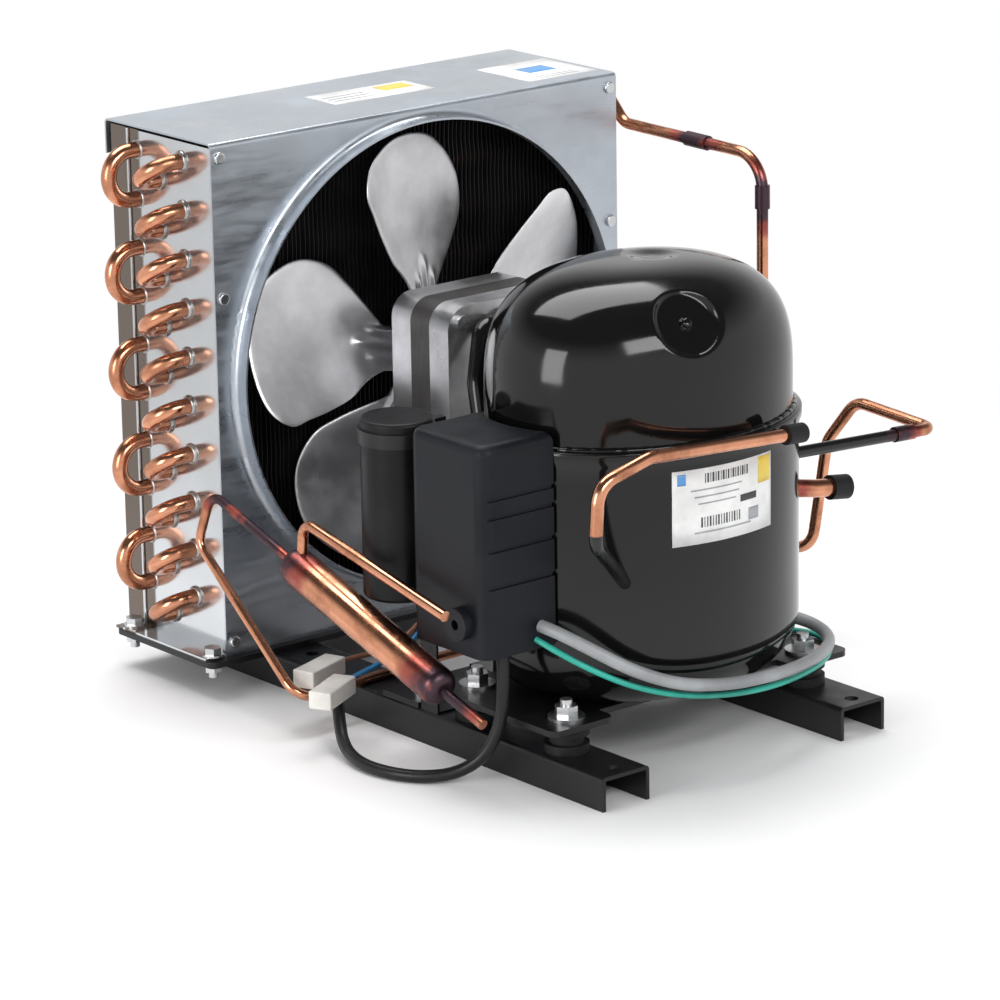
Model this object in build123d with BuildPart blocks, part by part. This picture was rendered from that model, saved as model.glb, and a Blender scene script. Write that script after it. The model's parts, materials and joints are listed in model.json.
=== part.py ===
"""Refrigeration condensing unit.

A welded-shell compressor, a fan-cooled condenser coil in a sheet-metal shroud, and
their electrics and copper lines, on two base rails.  Millimetres, +Z up.  The
compressor stands towards -Y and the coil towards +Y.  The origin is on the floor,
under the middle of the unit.
"""

import math
import os

from build123d import *

os.makedirs("parts", exist_ok=True)

# ---------------------------------------------------------------- driving dimensions
# Base rails: two inverted channels along Y.
rail_length = 345.0
rail_width = 29.0
rail_height = 17.0
rail_wall = 2.0
rail_spacing = 153.0
rail_mid_x = -15.5
rail_end_hole = 8.0
mount_hole_d = 7.0
mount_hole_spacing = 235.0

# Cross plate under the coil, and the strip under the motor.
plate_thickness = 3.0
plate_width = 288.0
plate_depth = 84.0
strip_width = 28.0
strip_y = -20.0
strip_overhang = 8.0

# Shroud: one sheet bent into front, top and rear lip, with a drawn fan ring.
shroud_width = 262.0
shroud_depth = 90.0
shroud_height = 263.5
shroud_mid_x = -2.0
shroud_front_y = 87.5
sheet = 1.0
shroud_bend = 2.6
lip_drop = 18.0
ring_radius = 120.0
ring_bend = 4.5
ring_reach = 9.0

# End plates that carry the tubes.
end_sheet = 1.2
end_gap = 0.5
end_top_gap = 1.5
end_flange = 14.0
foot_flange = 13.0
joggle_y = 62.0
joggle_step = 1.0
bead_y = 72.0
bead_radius = 1.1

# Coil.
tube_d = 8.0
tube_hole_d = 8.4
tube_pitch = 25.0
row_pitch = 19.0
row_count = 3
tubes_per_row = 10
first_row_y = 25.5
top_tube_drop = 12.3
leg_out = 4.5
fin_depth = 57.0
fin_gap = 3.0
fin_count = 42
fin_thickness = 1.6
fin_notch = 6.0

# Fan and its motor.
fan_x = -1.5
fan_height = 137.3
fan_tip_radius = 115.0
fan_plane = -5.3
blade_count = 5
blade_phase = -15.5
blade_sheet = 1.6
blade_pitch = 24.3
blade_camber_radius = 270.0
blade_rib_height = 1.2
blade_rib_width = 4.0
blade_rib_pitch = 6.0
hub_radius = 24.0
hub_boss_radius = 9.0
shaft_d = 5.0
shaft_fit = 0.05
motor_size = 80.0
motor_corner = 12.0
stack_length = 15.0
shield_length = 15.0
shield_wall = 2.6
motor_gap = 24.0
rotor_radius = 19.6
rotor_gap = 0.4
motor_screw_pitch = 64.0

# Compressor: an oval welded shell.
comp_x = -15.5
comp_y = -95.9
lower_a = 84.0
lower_b = 68.0
upper_a = 81.0
upper_b = 65.0
shell_wall = 3.0
shell_bottom = 33.0
bottom_round = 29.0
seam_z = 163.0
dome_start = 178.0
dome_top = 239.0
dome_power = 3.0
bead_size = 1.6

# Compressor feet.
foot_spacing_y = 67.0
foot_sheet = 3.0
foot_half = 19.0
foot_over = 13.5
foot_bolt_d = 6.0
grommet_d = 22.0

# Terminal cover and capacitor.
cover_x0 = -137.0
cover_y0 = -124.5
cover_y1 = -68.5
cover_z0 = 69.0
cover_z1 = 173.0
cover_groove = 2.0
cover_groove_zs = (147.0, 138.0, 122.0, 104.0)
cover_wall = 2.5
cap_x = -122.0
cap_y = -42.0
cap_d = 36.0
cap_z0 = 81.0
cap_z1 = 170.0

# Copper lines.
line_d = 6.0
liquid_d = 4.8
stub_d = 6.5
drier_d = 19.0
braze_gap = 0.05

# ---------------------------------------------------------------- places worked out
rail_left_x = rail_mid_x - rail_spacing / 2
rail_right_x = rail_mid_x + rail_spacing / 2
rail_xs = (rail_left_x, rail_right_x)
deck_z = rail_height + plate_thickness
mount_hole_ys = (
    -rail_length / 2 + rail_end_hole,
    -rail_length / 2 + rail_end_hole + mount_hole_spacing,
)
foot_ys = (comp_y - foot_spacing_y / 2, comp_y + foot_spacing_y / 2)
foot_points = [(x, y) for x in rail_xs for y in foot_ys]
shroud_left = shroud_mid_x - shroud_width / 2
shroud_right = shroud_mid_x + shroud_width / 2
shroud_back_y = shroud_front_y + shroud_depth
shroud_top = deck_z + shroud_height
plate_y0 = shroud_front_y - 5.0
fan_z = deck_z + fan_height
fan_y = shroud_front_y + fan_plane
end_left_x = shroud_left + end_gap
flange_mid_x = foot_flange / 2 - end_gap
base_bolt_x = shroud_width / 2 + flange_mid_x
base_bolt_ys = (shroud_front_y + 3.8, shroud_front_y + 72.0)
base_bolt_points = [
    (shroud_mid_x + side * base_bolt_x, y) for side in (-1, 1) for y in base_bolt_ys
]
row_ys = [shroud_front_y + first_row_y + row_pitch * k for k in range(row_count)]
top_tube_z = shroud_top - top_tube_drop
fin_half = shroud_width / 2 - end_gap - end_sheet - fin_gap
strip_points = [(x, strip_y) for x in rail_xs]


def tube_z(row, k):
    """Height of tube k from the top; the middle row is staggered by half a pitch."""
    stagger = tube_pitch / 2 if row == 1 else 0.0
    return top_tube_z - stagger - tube_pitch * k


def save(part, name):
    part.label = name
    export_step(part, f"parts/{name}.step")


# ---------------------------------------------------------------- rails
def make_rail(x):
    with BuildPart() as rail:
        with BuildSketch(Plane.XZ.offset(-rail_length / 2)) as section:
            with Locations((x, rail_height / 2)):
                Rectangle(rail_width, rail_height)
            fillet(section.vertices().group_by(Axis.Y)[-1], rail_wall)
            with Locations((x, (rail_height - rail_wall) / 2)):
                Rectangle(
                    rail_width - 2 * rail_wall, rail_height - rail_wall, mode=Mode.SUBTRACT
                )
        extrude(amount=rail_length)
        with Locations(*[(x, y, rail_height) for y in mount_hole_ys]):
            Hole(mount_hole_d / 2, depth=2 * rail_wall)
        with Locations(*[(x, y, rail_height) for y in foot_ys]):
            Hole(foot_bolt_d / 2 + 0.3, depth=2 * rail_wall)
        with Locations((x, strip_y, rail_height)):
            Hole(bolt_d / 2 + 0.2, depth=2 * rail_wall)
    return rail.part


bolt_d = 5.0
bolt_clear = 0.2
washer_sheet = 1.0
washer_d = 11.0
head_height = 3.5
head_across = 8.0
nut_height = 4.0

left_rail = make_rail(rail_left_x)
save(left_rail, "left_rail")
right_rail = make_rail(rail_right_x)
save(right_rail, "right_rail")

# ---------------------------------------------------------------- cross plate, strip
with BuildPart() as cross_plate:
    with BuildSketch(Plane.XY.offset(rail_height)) as outline:
        with Locations((shroud_mid_x, plate_y0 + plate_depth / 2)):
            RectangleRounded(plate_width, plate_depth, 4.0)
        with Locations(*base_bolt_points):
            Circle(bolt_d / 2 + bolt_clear, mode=Mode.SUBTRACT)
    extrude(amount=plate_thickness)
save(cross_plate.part, "cross_plate")

with BuildPart() as motor_strip:
    with BuildSketch(Plane.XY.offset(rail_height)):
        with Locations((rail_mid_x, strip_y)):
            Rectangle(rail_spacing + rail_width + 2 * strip_overhang - 16.0, strip_width)
        with Locations(*strip_points):
            Circle(bolt_d / 2 + bolt_clear, mode=Mode.SUBTRACT)
    extrude(amount=plate_thickness)
save(motor_strip.part, "motor_strip")

# ---------------------------------------------------------------- shroud
with BuildPart() as shroud:
    with BuildSketch(Plane.YZ.offset(shroud_left)) as bent:
        with Locations((shroud_front_y + shroud_depth / 2, deck_z + shroud_height / 2)):
            Rectangle(shroud_depth, shroud_height)
        fillet(bent.vertices().group_by(Axis.Y)[-1], shroud_bend)
        with BuildSketch(mode=Mode.PRIVATE) as hollow:
            with Locations(
                (shroud_front_y + shroud_depth / 2, deck_z + (shroud_height - sheet) / 2)
            ):
                Rectangle(shroud_depth - 2 * sheet, shroud_height - sheet)
            fillet(hollow.vertices().group_by(Axis.Y)[-1], shroud_bend - sheet)
        add(hollow.sketch, mode=Mode.SUBTRACT)
        with Locations(
            (shroud_back_y - sheet / 2, deck_z + (shroud_height - lip_drop) / 2)
        ):
            Rectangle(sheet, shroud_height - lip_drop, mode=Mode.SUBTRACT)
    extrude(amount=shroud_width)
    # The ring hole, then the drawn ring that stands out of the front sheet.
    with BuildSketch(Plane.XZ.offset(-(shroud_front_y + sheet))):
        with Locations((fan_x, fan_z)):
            Circle(ring_radius + ring_bend)
    extrude(amount=2 * sheet, mode=Mode.SUBTRACT)
    ring_axis = Axis((fan_x, shroud_front_y, fan_z), (0, 1, 0))
    bend_y = shroud_front_y + sheet - ring_bend
    bend_x = fan_x + ring_radius + ring_bend
    corner = math.sqrt(0.5)
    with BuildSketch(Plane.XY.offset(fan_z)):
        with BuildLine():
            ThreePointArc(
                (bend_x, bend_y + ring_bend),
                (bend_x - ring_bend * corner, bend_y + ring_bend * corner),
                (bend_x - ring_bend, bend_y),
            )
            Polyline(
                (bend_x - ring_bend, bend_y),
                (bend_x - ring_bend, shroud_front_y - ring_reach),
                (bend_x - ring_bend + sheet, shroud_front_y - ring_reach),
                (bend_x - ring_bend + sheet, bend_y),
            )
            inner_bend = ring_bend - sheet
            ThreePointArc(
                (bend_x - inner_bend, bend_y),
                (bend_x - inner_bend * corner, bend_y + inner_bend * corner),
                (bend_x, bend_y + inner_bend),
            )
            Line((bend_x, bend_y + inner_bend), (bend_x, bend_y + ring_bend))
        make_face()
    revolve(axis=ring_axis)
save(shroud.part, "shroud")


# ---------------------------------------------------------------- end plates
def make_end_plate(side):
    """Tube plate with a screwed front flange and a bolted foot flange."""
    outer = shroud_width / 2 - end_gap
    inner = outer - end_sheet
    y0 = shroud_front_y + sheet
    y1 = shroud_back_y - sheet - 2.0
    z1 = shroud_top - sheet - end_top_gap

    def at(x):
        return shroud_mid_x + side * x

    with BuildPart() as plate:
        joggle = shroud_front_y + joggle_y
        with BuildSketch(Plane.XY.offset(deck_z)):
            with BuildLine():
                Polyline(
                    (at(outer), y0),
                    (at(outer), joggle),
                    (at(outer - joggle_step), joggle + 1.5),
                    (at(outer - joggle_step), y1),
                    (at(inner - joggle_step), y1),
                    (at(inner - joggle_step), joggle + 1.0),
                    (at(inner), joggle - 0.5),
                    (at(inner), y0 + end_sheet),
                    (at(outer - end_flange), y0 + end_sheet),
                    (at(outer - end_flange), y0),
                    close=True,
                )
            make_face()
        extrude(amount=z1 - deck_z)
        # Stiffening bead down the rear third.
        with BuildSketch(Plane.XY.offset(deck_z + end_sheet)):
            with Locations((at(outer - joggle_step), shroud_front_y + bead_y)):
                Circle(bead_radius)
        extrude(amount=z1 - deck_z - end_sheet)
        # Foot flange on the cross plate.
        with BuildSketch(Plane.XY.offset(deck_z)):
            with Locations(
                (at(outer + foot_flange / 2 - end_sheet / 2), plate_y0 + 6.0 + 72.0 / 2 + 3.0)
            ):
                Rectangle(foot_flange + end_sheet, 78.0)
            with Locations(*base_bolt_points):
                Circle(bolt_d / 2 + bolt_clear, mode=Mode.SUBTRACT)
        extrude(amount=end_sheet)
        tube_points = [
            (row_ys[row], tube_z(row, k)) for row in range(row_count) for k in range(tubes_per_row)
        ]
        with BuildSketch(Plane.YZ.offset(at(outer + 2 * bead_radius))):
            with Locations(*tube_points):
                Circle(tube_hole_d / 2)
        extrude(
            amount=-side * (end_sheet + joggle_step + 4 * bead_radius), mode=Mode.SUBTRACT
        )
    return plate.part


end_plate_left = make_end_plate(-1)
save(end_plate_left, "end_plate_left")
end_plate_right = make_end_plate(1)
save(end_plate_right, "end_plate_right")

# ---------------------------------------------------------------- fin pack
# A block of fins: the edges stand free front and back, the core carries the tubes.
fin_z0 = deck_z + 2.0
fin_z1 = shroud_top - sheet - 2.5
fin_mid_y = row_ys[1]
fin_pitch = (2 * fin_half - fin_thickness) / (fin_count - 1)
with BuildPart() as fin_pack:
    with BuildSketch(Plane.XY.offset(fin_z0)):
        with Locations((shroud_mid_x, fin_mid_y)):
            Rectangle(2 * fin_half, fin_depth - 2 * fin_notch)
            with GridLocations(fin_pitch, 0, fin_count, 1):
                Rectangle(fin_thickness, fin_depth)
    extrude(amount=fin_z1 - fin_z0)
save(fin_pack.part, "fin_pack")


# ---------------------------------------------------------------- return bends
def bend(side, start, end):
    """A half-turn tube from one (y, z) to another, outside the end plate on one side."""
    root_x = shroud_mid_x + side * fin_half
    turn_x = shroud_mid_x + side * (shroud_width / 2 + leg_out)
    mid = ((start[0] + end[0]) / 2, (start[1] + end[1]) / 2)
    radius = math.dist(start, end) / 2
    with BuildPart() as tube:
        with BuildLine() as path:
            Line((root_x, *start), (turn_x, *start))
            ThreePointArc((turn_x, *start), (turn_x + side * radius, *mid), (turn_x, *end))
            Line((turn_x, *end), (root_x, *end))
        with BuildSketch(Plane(origin=path.line @ 0, z_dir=path.line % 0)):
            Circle(tube_d / 2)
        sweep()
    return tube.part


def tube_at(row, k):
    return (row_ys[row], tube_z(row, k))


with BuildPart() as bends_diagonal:
    for k in range(tubes_per_row):
        add(bend(-1, tube_at(0, k), tube_at(1, k)))
save(bends_diagonal.part, "return_bends_diagonal")

with BuildPart() as bends_upright:
    for k in range(0, tubes_per_row, 2):
        add(bend(-1, tube_at(2, k), tube_at(2, k + 1)))
save(bends_upright.part, "return_bends_upright")

with BuildPart() as hairpins:
    for k in range(tubes_per_row - 1):
        add(bend(1, tube_at(1, k), tube_at(0, k + 1)))
    add(bend(1, tube_at(1, tubes_per_row - 1), tube_at(2, tubes_per_row - 1)))
    for k in range(1, tubes_per_row - 1, 2):
        add(bend(1, tube_at(2, k), tube_at(2, k + 1)))
save(hairpins.part, "hairpin_bends")

# ---------------------------------------------------------------- screws and bolts
flange_top = deck_z + end_sheet
with BuildPart() as base_washers:
    with BuildSketch(Plane.XY.offset(flange_top)):
        with Locations(*base_bolt_points):
            Circle(washer_d / 2)
            Circle(bolt_d / 2 + bolt_clear, mode=Mode.SUBTRACT)
    extrude(amount=washer_sheet)
    with BuildSketch(Plane.XY.offset(deck_z)):
        with Locations(*strip_points):
            Circle(washer_d / 2)
            Circle(bolt_d / 2 + bolt_clear, mode=Mode.SUBTRACT)
    extrude(amount=washer_sheet)
save(base_washers.part, "base_washers")

with BuildPart() as base_bolts:
    for points, seat, low in (
        (base_bolt_points, flange_top + washer_sheet, rail_height - nut_height - 3.0),
        (strip_points, deck_z + washer_sheet, rail_height - rail_wall - nut_height - 1.5),
    ):
        with BuildSketch(Plane.XY.offset(seat)):
            with Locations(*points):
                RegularPolygon(head_across / 2, 6, major_radius=False)
        extrude(amount=head_height)
        with BuildSketch(Plane.XY.offset(low)):
            with Locations(*points):
                Circle(bolt_d / 2)
        extrude(amount=seat - low)
save(base_bolts.part, "base_bolts")

with BuildPart() as base_nuts:
    for points, top in (
        (base_bolt_points, rail_height),
        (strip_points, rail_height - rail_wall),
    ):
        with BuildSketch(Plane.XY.offset(top)):
            with Locations(*points):
                RegularPolygon(head_across / 2, 6, major_radius=False)
                Circle(bolt_d / 2, mode=Mode.SUBTRACT)
        extrude(amount=-nut_height)
save(base_nuts.part, "base_nuts")

screw_xs = (5.0, shroud_width - 5.0)
screw_zs = (7.0, 185.0, 256.0)
screw_points = [(shroud_left + x, deck_z + z) for x in screw_xs for z in screw_zs]
with BuildPart() as shroud_screws:
    with BuildSketch(Plane.XZ.offset(-shroud_front_y)):
        with Locations(*screw_points):
            Circle(3.2)
    extrude(amount=1.6)
    fillet(shroud_screws.faces().sort_by(Axis.Y)[: len(screw_points)].edges(), 1.0)
save(shroud_screws.part, "shroud_screws")

# ---------------------------------------------------------------- fan
fan_axis_plane = Plane(origin=(fan_x, fan_y, fan_z), x_dir=(1, 0, 0), z_dir=(0, -1, 0))


# Outline of one blade seen along the axis: across the blade, and out from the axis.
blade_outline = [
    (12.9, 20.0),
    (16.6, 28.0),
    (27.1, 36.0),
    (38.1, 44.5),
    (49.2, 56.0),
    (53.4, 74.0),
    (47.8, 92.2),
    (35.7, 105.6),
    (11.8, 113.8),
    (-12.8, 111.0),
    (-23.2, 100.0),
    (-21.9, 88.0),
    (-19.3, 73.0),
    (-15.3, 58.0),
    (-9.0, 46.0),
    (-5.5, 34.0),
    (-5.5, 20.0),
]
blade_rib_lean = 13.0
blade_rib_reach = ((0.0, 50.0), (1.0, 44.0), (-1.0, 44.0))


def cambered_sheet(outer, inner):
    """Upright curved sheet between two radii about the camber axis, then pitched."""
    with BuildPart() as sheet:
        with BuildSketch(Plane.XY):
            with Locations((0, -blade_camber_radius)):
                Circle(outer)
                Circle(inner, mode=Mode.SUBTRACT)
        extrude(amount=fan_tip_radius + 10.0)
    return sheet.part.rotate(Axis.Z, blade_pitch)


def inner_gap(across_x):
    """How far the front face of the upright sheet stands ahead of the axis plane."""
    return blade_sheet + across_x**2 / (2 * blade_camber_radius)


def make_blade():
    """One blade pointing up, with three raised ribs running out of its root."""
    inner = blade_camber_radius - blade_sheet
    with BuildPart() as ribs:
        for side, reach in blade_rib_reach:
            turn = math.radians(blade_rib_lean)
            middle = (reach + 24.0) / 2
            across_x = side * blade_rib_pitch * math.cos(turn) + middle * math.sin(turn)
            up_z = middle * math.cos(turn) - side * blade_rib_pitch * math.sin(turn)
            with Locations(
                Location((across_x, -inner_gap(across_x), up_z), (0, blade_rib_lean, 0))
            ):
                Box(blade_rib_width, 2 * blade_rib_height, reach - 24.0)
    with BuildPart() as blade:
        with BuildSketch(Plane.XZ.offset(-30.0)):
            with BuildLine():
                edge = Spline(*blade_outline)
                Line(edge @ 1, edge @ 0)
            make_face()
        extrude(amount=60.0)
        add(cambered_sheet(blade_camber_radius, inner), mode=Mode.INTERSECT)
        add(ribs.part.rotate(Axis.Z, blade_pitch))
    return blade.part


blade_form = make_blade()
with BuildPart() as fan_blades:
    for k in range(blade_count):
        turned = blade_form.rotate(Axis.Y, blade_phase + 360.0 / blade_count * k)
        with Locations((fan_x, fan_y, fan_z)):
            add(turned)
save(fan_blades.part, "fan_blades")

hub_half = 2.0
boss_front = 8.0
with BuildPart() as fan_hub:
    with BuildSketch(fan_axis_plane.offset(-hub_half)):
        Circle(hub_radius)
    extrude(amount=2 * hub_half)
    with BuildSketch(fan_axis_plane.offset(-boss_front + 2.0)):
        Circle(hub_boss_radius)
    extrude(amount=2 * boss_front - 2.0)
    with BuildSketch(fan_axis_plane.offset(-boss_front)):
        Circle(shaft_d / 2)
    extrude(amount=3 * boss_front, mode=Mode.SUBTRACT)
    add(fan_blades.part, mode=Mode.SUBTRACT)
save(fan_hub.part, "fan_hub")

# ---------------------------------------------------------------- fan motor
# Stations along the axis, measured towards the compressor from the shroud front.
shield_y = shroud_front_y - motor_gap
stack_y1 = shield_y - shield_length
stack_y0 = stack_y1 - stack_length
rear_y = stack_y0 - shield_length
bearing_length = 7.5
bearing_radius = 6.0
shaft_rear = rear_y + 3.0
shaft_front = fan_y + boss_front + 1.0
bearing_bore = shaft_d / 2 + shaft_fit
screw_at = motor_screw_pitch / 2
rotor_length = stack_length


def across(y):
    """Sketch plane facing the compressor at depth y, centred on the fan axis."""
    return Plane(origin=(fan_x, y, fan_z), x_dir=(1, 0, 0), z_dir=(0, -1, 0))


def make_shield(open_y, closed_y):
    """Cast end shield: an open cup with a bearing boss in its end wall."""
    inward = 1.0 if open_y < closed_y else -1.0
    with BuildPart() as shield:
        with BuildSketch(across(open_y)):
            RectangleRounded(motor_size, motor_size, motor_corner)
        extrude(amount=-inward * shield_length)
        with BuildSketch(across(open_y)):
            Circle(motor_size / 2 - 6.0)
            Circle(bearing_radius + 3.0, mode=Mode.SUBTRACT)
        extrude(amount=-inward * (shield_length - shield_wall), mode=Mode.SUBTRACT)
        with BuildSketch(across(open_y)):
            Circle(bearing_radius + 3.0)
        extrude(amount=-inward * (shield_length - bearing_length - 1.0), mode=Mode.SUBTRACT)
        with BuildSketch(across(closed_y + inward)):
            Circle(bearing_radius)
        extrude(amount=inward * (bearing_length + 2.0), mode=Mode.SUBTRACT)
        with BuildSketch(across(open_y)):
            with GridLocations(motor_screw_pitch, motor_screw_pitch, 2, 2):
                Circle(2.2)
        extrude(amount=-inward * shield_length, mode=Mode.SUBTRACT)
    return shield.part


motor_front = make_shield(stack_y1, shield_y)
save(motor_front, "motor_front_shield")
motor_rear = make_shield(stack_y0, rear_y)
save(motor_rear, "motor_rear_shield")

with BuildPart() as motor_bearings:
    for y in (shield_y, rear_y + bearing_length):
        with BuildSketch(across(y)):
            Circle(bearing_radius)
            Circle(bearing_bore, mode=Mode.SUBTRACT)
        extrude(amount=bearing_length)
save(motor_bearings.part, "motor_bearings")

coil_mid = 26.75
leg_r = 3.0
with BuildPart() as motor_stator:
    with BuildSketch(across(stack_y1)):
        RectangleRounded(motor_size, motor_size, motor_corner)
        Circle(rotor_radius + rotor_gap, mode=Mode.SUBTRACT)
        with PolarLocations(coil_mid, 8):
            Circle(leg_r + 0.2, mode=Mode.SUBTRACT)
        with GridLocations(motor_screw_pitch, motor_screw_pitch, 2, 2):
            Circle(2.2, mode=Mode.SUBTRACT)
    extrude(amount=stack_length)
save(motor_stator.part, "motor_stator")

end_turn = 5.0
with BuildPart() as motor_winding:
    for y in (stack_y1 + end_turn, stack_y0):
        with BuildSketch(across(y)):
            Circle(coil_mid + 4.0)
            Circle(coil_mid - 4.0, mode=Mode.SUBTRACT)
        extrude(amount=end_turn)
    with BuildSketch(across(stack_y1)):
        with PolarLocations(coil_mid, 8):
            Circle(leg_r)
    extrude(amount=stack_length)
save(motor_winding.part, "motor_winding")

with BuildPart() as motor_rotor:
    with BuildSketch(across(stack_y1)):
        Circle(rotor_radius)
        Circle(shaft_d / 2, mode=Mode.SUBTRACT)
    extrude(amount=rotor_length)
save(motor_rotor.part, "motor_rotor")

with BuildPart() as motor_shaft:
    with BuildSketch(across(shaft_front + 6.0)):
        Circle(shaft_d / 2)
    extrude(amount=shaft_front + 6.0 - shaft_rear)
save(motor_shaft.part, "motor_shaft")

with BuildPart() as fan_nut:
    with BuildSketch(across(fan_y + boss_front + 4.0)):
        RegularPolygon(4.5, 6, major_radius=False)
        Circle(shaft_d / 2, mode=Mode.SUBTRACT)
    extrude(amount=4.0)
save(fan_nut.part, "fan_nut")

screw_head = 3.0
with BuildPart() as motor_screws:
    with BuildSketch(across(rear_y)):
        with GridLocations(motor_screw_pitch, motor_screw_pitch, 2, 2):
            Circle(4.0)
    extrude(amount=screw_head)
    with BuildSketch(across(shield_y)):
        with GridLocations(motor_screw_pitch, motor_screw_pitch, 2, 2):
            Circle(2.0)
    extrude(amount=shield_y - rear_y)
save(motor_screws.part, "motor_screws")

# ---------------------------------------------------------------- motor bracket
arm_x = -41.0
arm_width = 12.0
arm_thick = 4.0
lug = 2.5
foot_size = 24.0
foot_top = deck_z + 2.0
arm_route = [
    (fan_x - 6.0, rear_y - lug / 2, fan_z + 26.0),
    (fan_x - 22.0, rear_y - lug / 2 - 4.0, fan_z + 30.0),
    (arm_x + 6.0, rear_y - 14.0, fan_z + 4.0),
    (arm_x + 1.0, strip_y + 10.0, fan_z - 40.0),
    (arm_x, strip_y, deck_z + 1.0),
]
with BuildPart() as motor_bracket:
    with BuildLine() as route:
        FilletPolyline(*arm_route, radius=[9.0, 16.0, 40.0])
    with BuildSketch(Plane(origin=route.line @ 0, z_dir=route.line % 0)):
        Circle(arm_thick + 1.0)
    sweep()
    with BuildSketch(across(rear_y)):
        with Locations((-6.0, 26.0)):
            Circle(9.0)
    extrude(amount=lug)
    with BuildSketch(Plane.XY.offset(deck_z)):
        with Locations((arm_x, strip_y)):
            Rectangle(foot_size, foot_size)
    extrude(amount=foot_top - deck_z)
    split(bisect_by=Plane.XZ.offset(-rear_y), keep=Keep.TOP)
    split(bisect_by=Plane.XY.offset(deck_z), keep=Keep.TOP)
save(motor_bracket.part, "motor_bracket")


# ---------------------------------------------------------------- compressor shell
def lower_form(a, b, bottom, top, rounding):
    """Solid oval cup: a round one turned about Z, then narrowed along Y."""
    with BuildPart() as form:
        with BuildSketch(Plane.XZ) as half:
            with Locations((a / 2, (bottom + top) / 2)):
                Rectangle(a, top - bottom)
            fillet(half.vertices().sort_by_distance((a, 0, bottom))[0], rounding)
        revolve(axis=Axis.Z)
        scale(by=(1, b / a, 1))
    return form.part.translate((comp_x, comp_y, 0))


def dome_face(a, bottom, top):
    """Half section of the dome: a superellipse above a short straight wall."""
    rise = top - dome_start
    crown = [
        (
            a * math.cos(t) ** (2 / dome_power),
            dome_start + rise * math.sin(t) ** (2 / dome_power),
        )
        for t in [math.radians(angle) for angle in (20, 40, 64)]
    ]
    with BuildSketch(Plane.XZ) as half:
        with BuildLine():
            Line((0, bottom), (a, bottom))
            Line((a, bottom), (a, dome_start))
            Spline((a, dome_start), *crown, (0, top), tangents=((0, 1), (-1, 0)))
            Line((0, top), (0, bottom))
        make_face()
    return half.sketch_local


def upper_form(a, b, bottom, top, wall=0.0):
    """Oval dome, solid or with a wall; turned about Z, then narrowed along Y."""
    with BuildPart() as form:
        with BuildSketch(Plane.XZ):
            add(dome_face(a, bottom, top))
            if wall:
                add(dome_face(a - wall, bottom, top - wall), mode=Mode.SUBTRACT)
        revolve(axis=Axis.Z)
        scale(by=(1, b / a, 1))
    return form.part.translate((comp_x, comp_y, 0))


lower_outer = lower_form(lower_a, lower_b, shell_bottom, seam_z, bottom_round)
lower_inner = lower_form(
    lower_a - 2 * shell_wall,
    lower_b - 2 * shell_wall,
    shell_bottom + shell_wall,
    seam_z,
    bottom_round - shell_wall,
)
with BuildPart() as lower_shell:
    add(lower_outer)
    with BuildSketch(Plane.XY.offset(seam_z - 3 * bead_size)):
        with Locations((comp_x, comp_y)):
            Ellipse(lower_a + bead_size, lower_b + bead_size)
    extrude(amount=3 * bead_size)
    add(lower_inner, mode=Mode.SUBTRACT)
save(lower_shell.part, "compressor_lower_shell")

dish_radius = 17.0
dish_depth = 2.0
dish_sphere = (dish_radius**2 + dish_depth**2) / (2 * dish_depth)
dish_point = Vector(-13.0, -131.5, 215.0)
dish_out = Vector(0.02, -0.62, 0.78).normalized()
dish_centre = dish_point + dish_out * (dish_sphere - dish_depth)
upper_outer = upper_form(upper_a, upper_b, seam_z, dome_top)
with BuildPart() as upper_shell:
    add(upper_form(upper_a, upper_b, seam_z, dome_top, shell_wall))
    with Locations(dish_centre):
        Sphere(dish_sphere, mode=Mode.SUBTRACT)
save(upper_shell.part, "compressor_upper_shell")

# ---------------------------------------------------------------- compressor feet
foot_y0 = foot_ys[0] - foot_over
foot_y1 = foot_ys[1] + foot_over
foot_z0 = shell_bottom - foot_sheet
with BuildPart() as foot_plate:
    with BuildSketch(Plane.XY.offset(foot_z0)) as feet:
        for x in rail_xs:
            with Locations((x, comp_y)):
                RectangleRounded(2 * foot_half, foot_y1 - foot_y0, 5.0)
        with Locations((comp_x, comp_y)):
            Rectangle(rail_spacing - 20.0, 70.0)
        with Locations(*foot_points):
            Circle(foot_bolt_d / 2 + 0.5, mode=Mode.SUBTRACT)
    extrude(amount=foot_sheet)
save(foot_plate.part, "foot_plate")

with BuildPart() as grommets:
    with BuildSketch(Plane.XY.offset(rail_height)):
        with Locations(*foot_points):
            Circle(grommet_d / 2)
            Circle(foot_bolt_d / 2 + 0.5, mode=Mode.SUBTRACT)
    extrude(amount=foot_z0 - rail_height)
    with BuildSketch(Plane.XY.offset(rail_height + 4.5)):
        with Locations(*foot_points):
            Circle(grommet_d / 2)
            Circle(grommet_d / 2 - 2.5, mode=Mode.SUBTRACT)
    extrude(amount=4.0, mode=Mode.SUBTRACT)
save(grommets.part, "grommets")

foot_washer = 1.5
foot_nut = 5.0
with BuildPart() as foot_washers:
    with BuildSketch(Plane.XY.offset(shell_bottom)):
        with Locations(*foot_points):
            Circle(9.0)
            Circle(foot_bolt_d / 2 + 0.3, mode=Mode.SUBTRACT)
    extrude(amount=foot_washer)
save(foot_washers.part, "foot_washers")

with BuildPart() as foot_bolts:
    with BuildSketch(Plane.XY.offset(rail_height - rail_wall)):
        with Locations(*foot_points):
            RegularPolygon(5.0, 6, major_radius=False)
    extrude(amount=-4.0)
    with BuildSketch(Plane.XY.offset(rail_height - rail_wall)):
        with Locations(*foot_points):
            Circle(foot_bolt_d / 2)
    extrude(amount=shell_bottom + foot_washer + foot_nut + 3.0 - rail_height + rail_wall)
save(foot_bolts.part, "foot_bolts")

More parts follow.
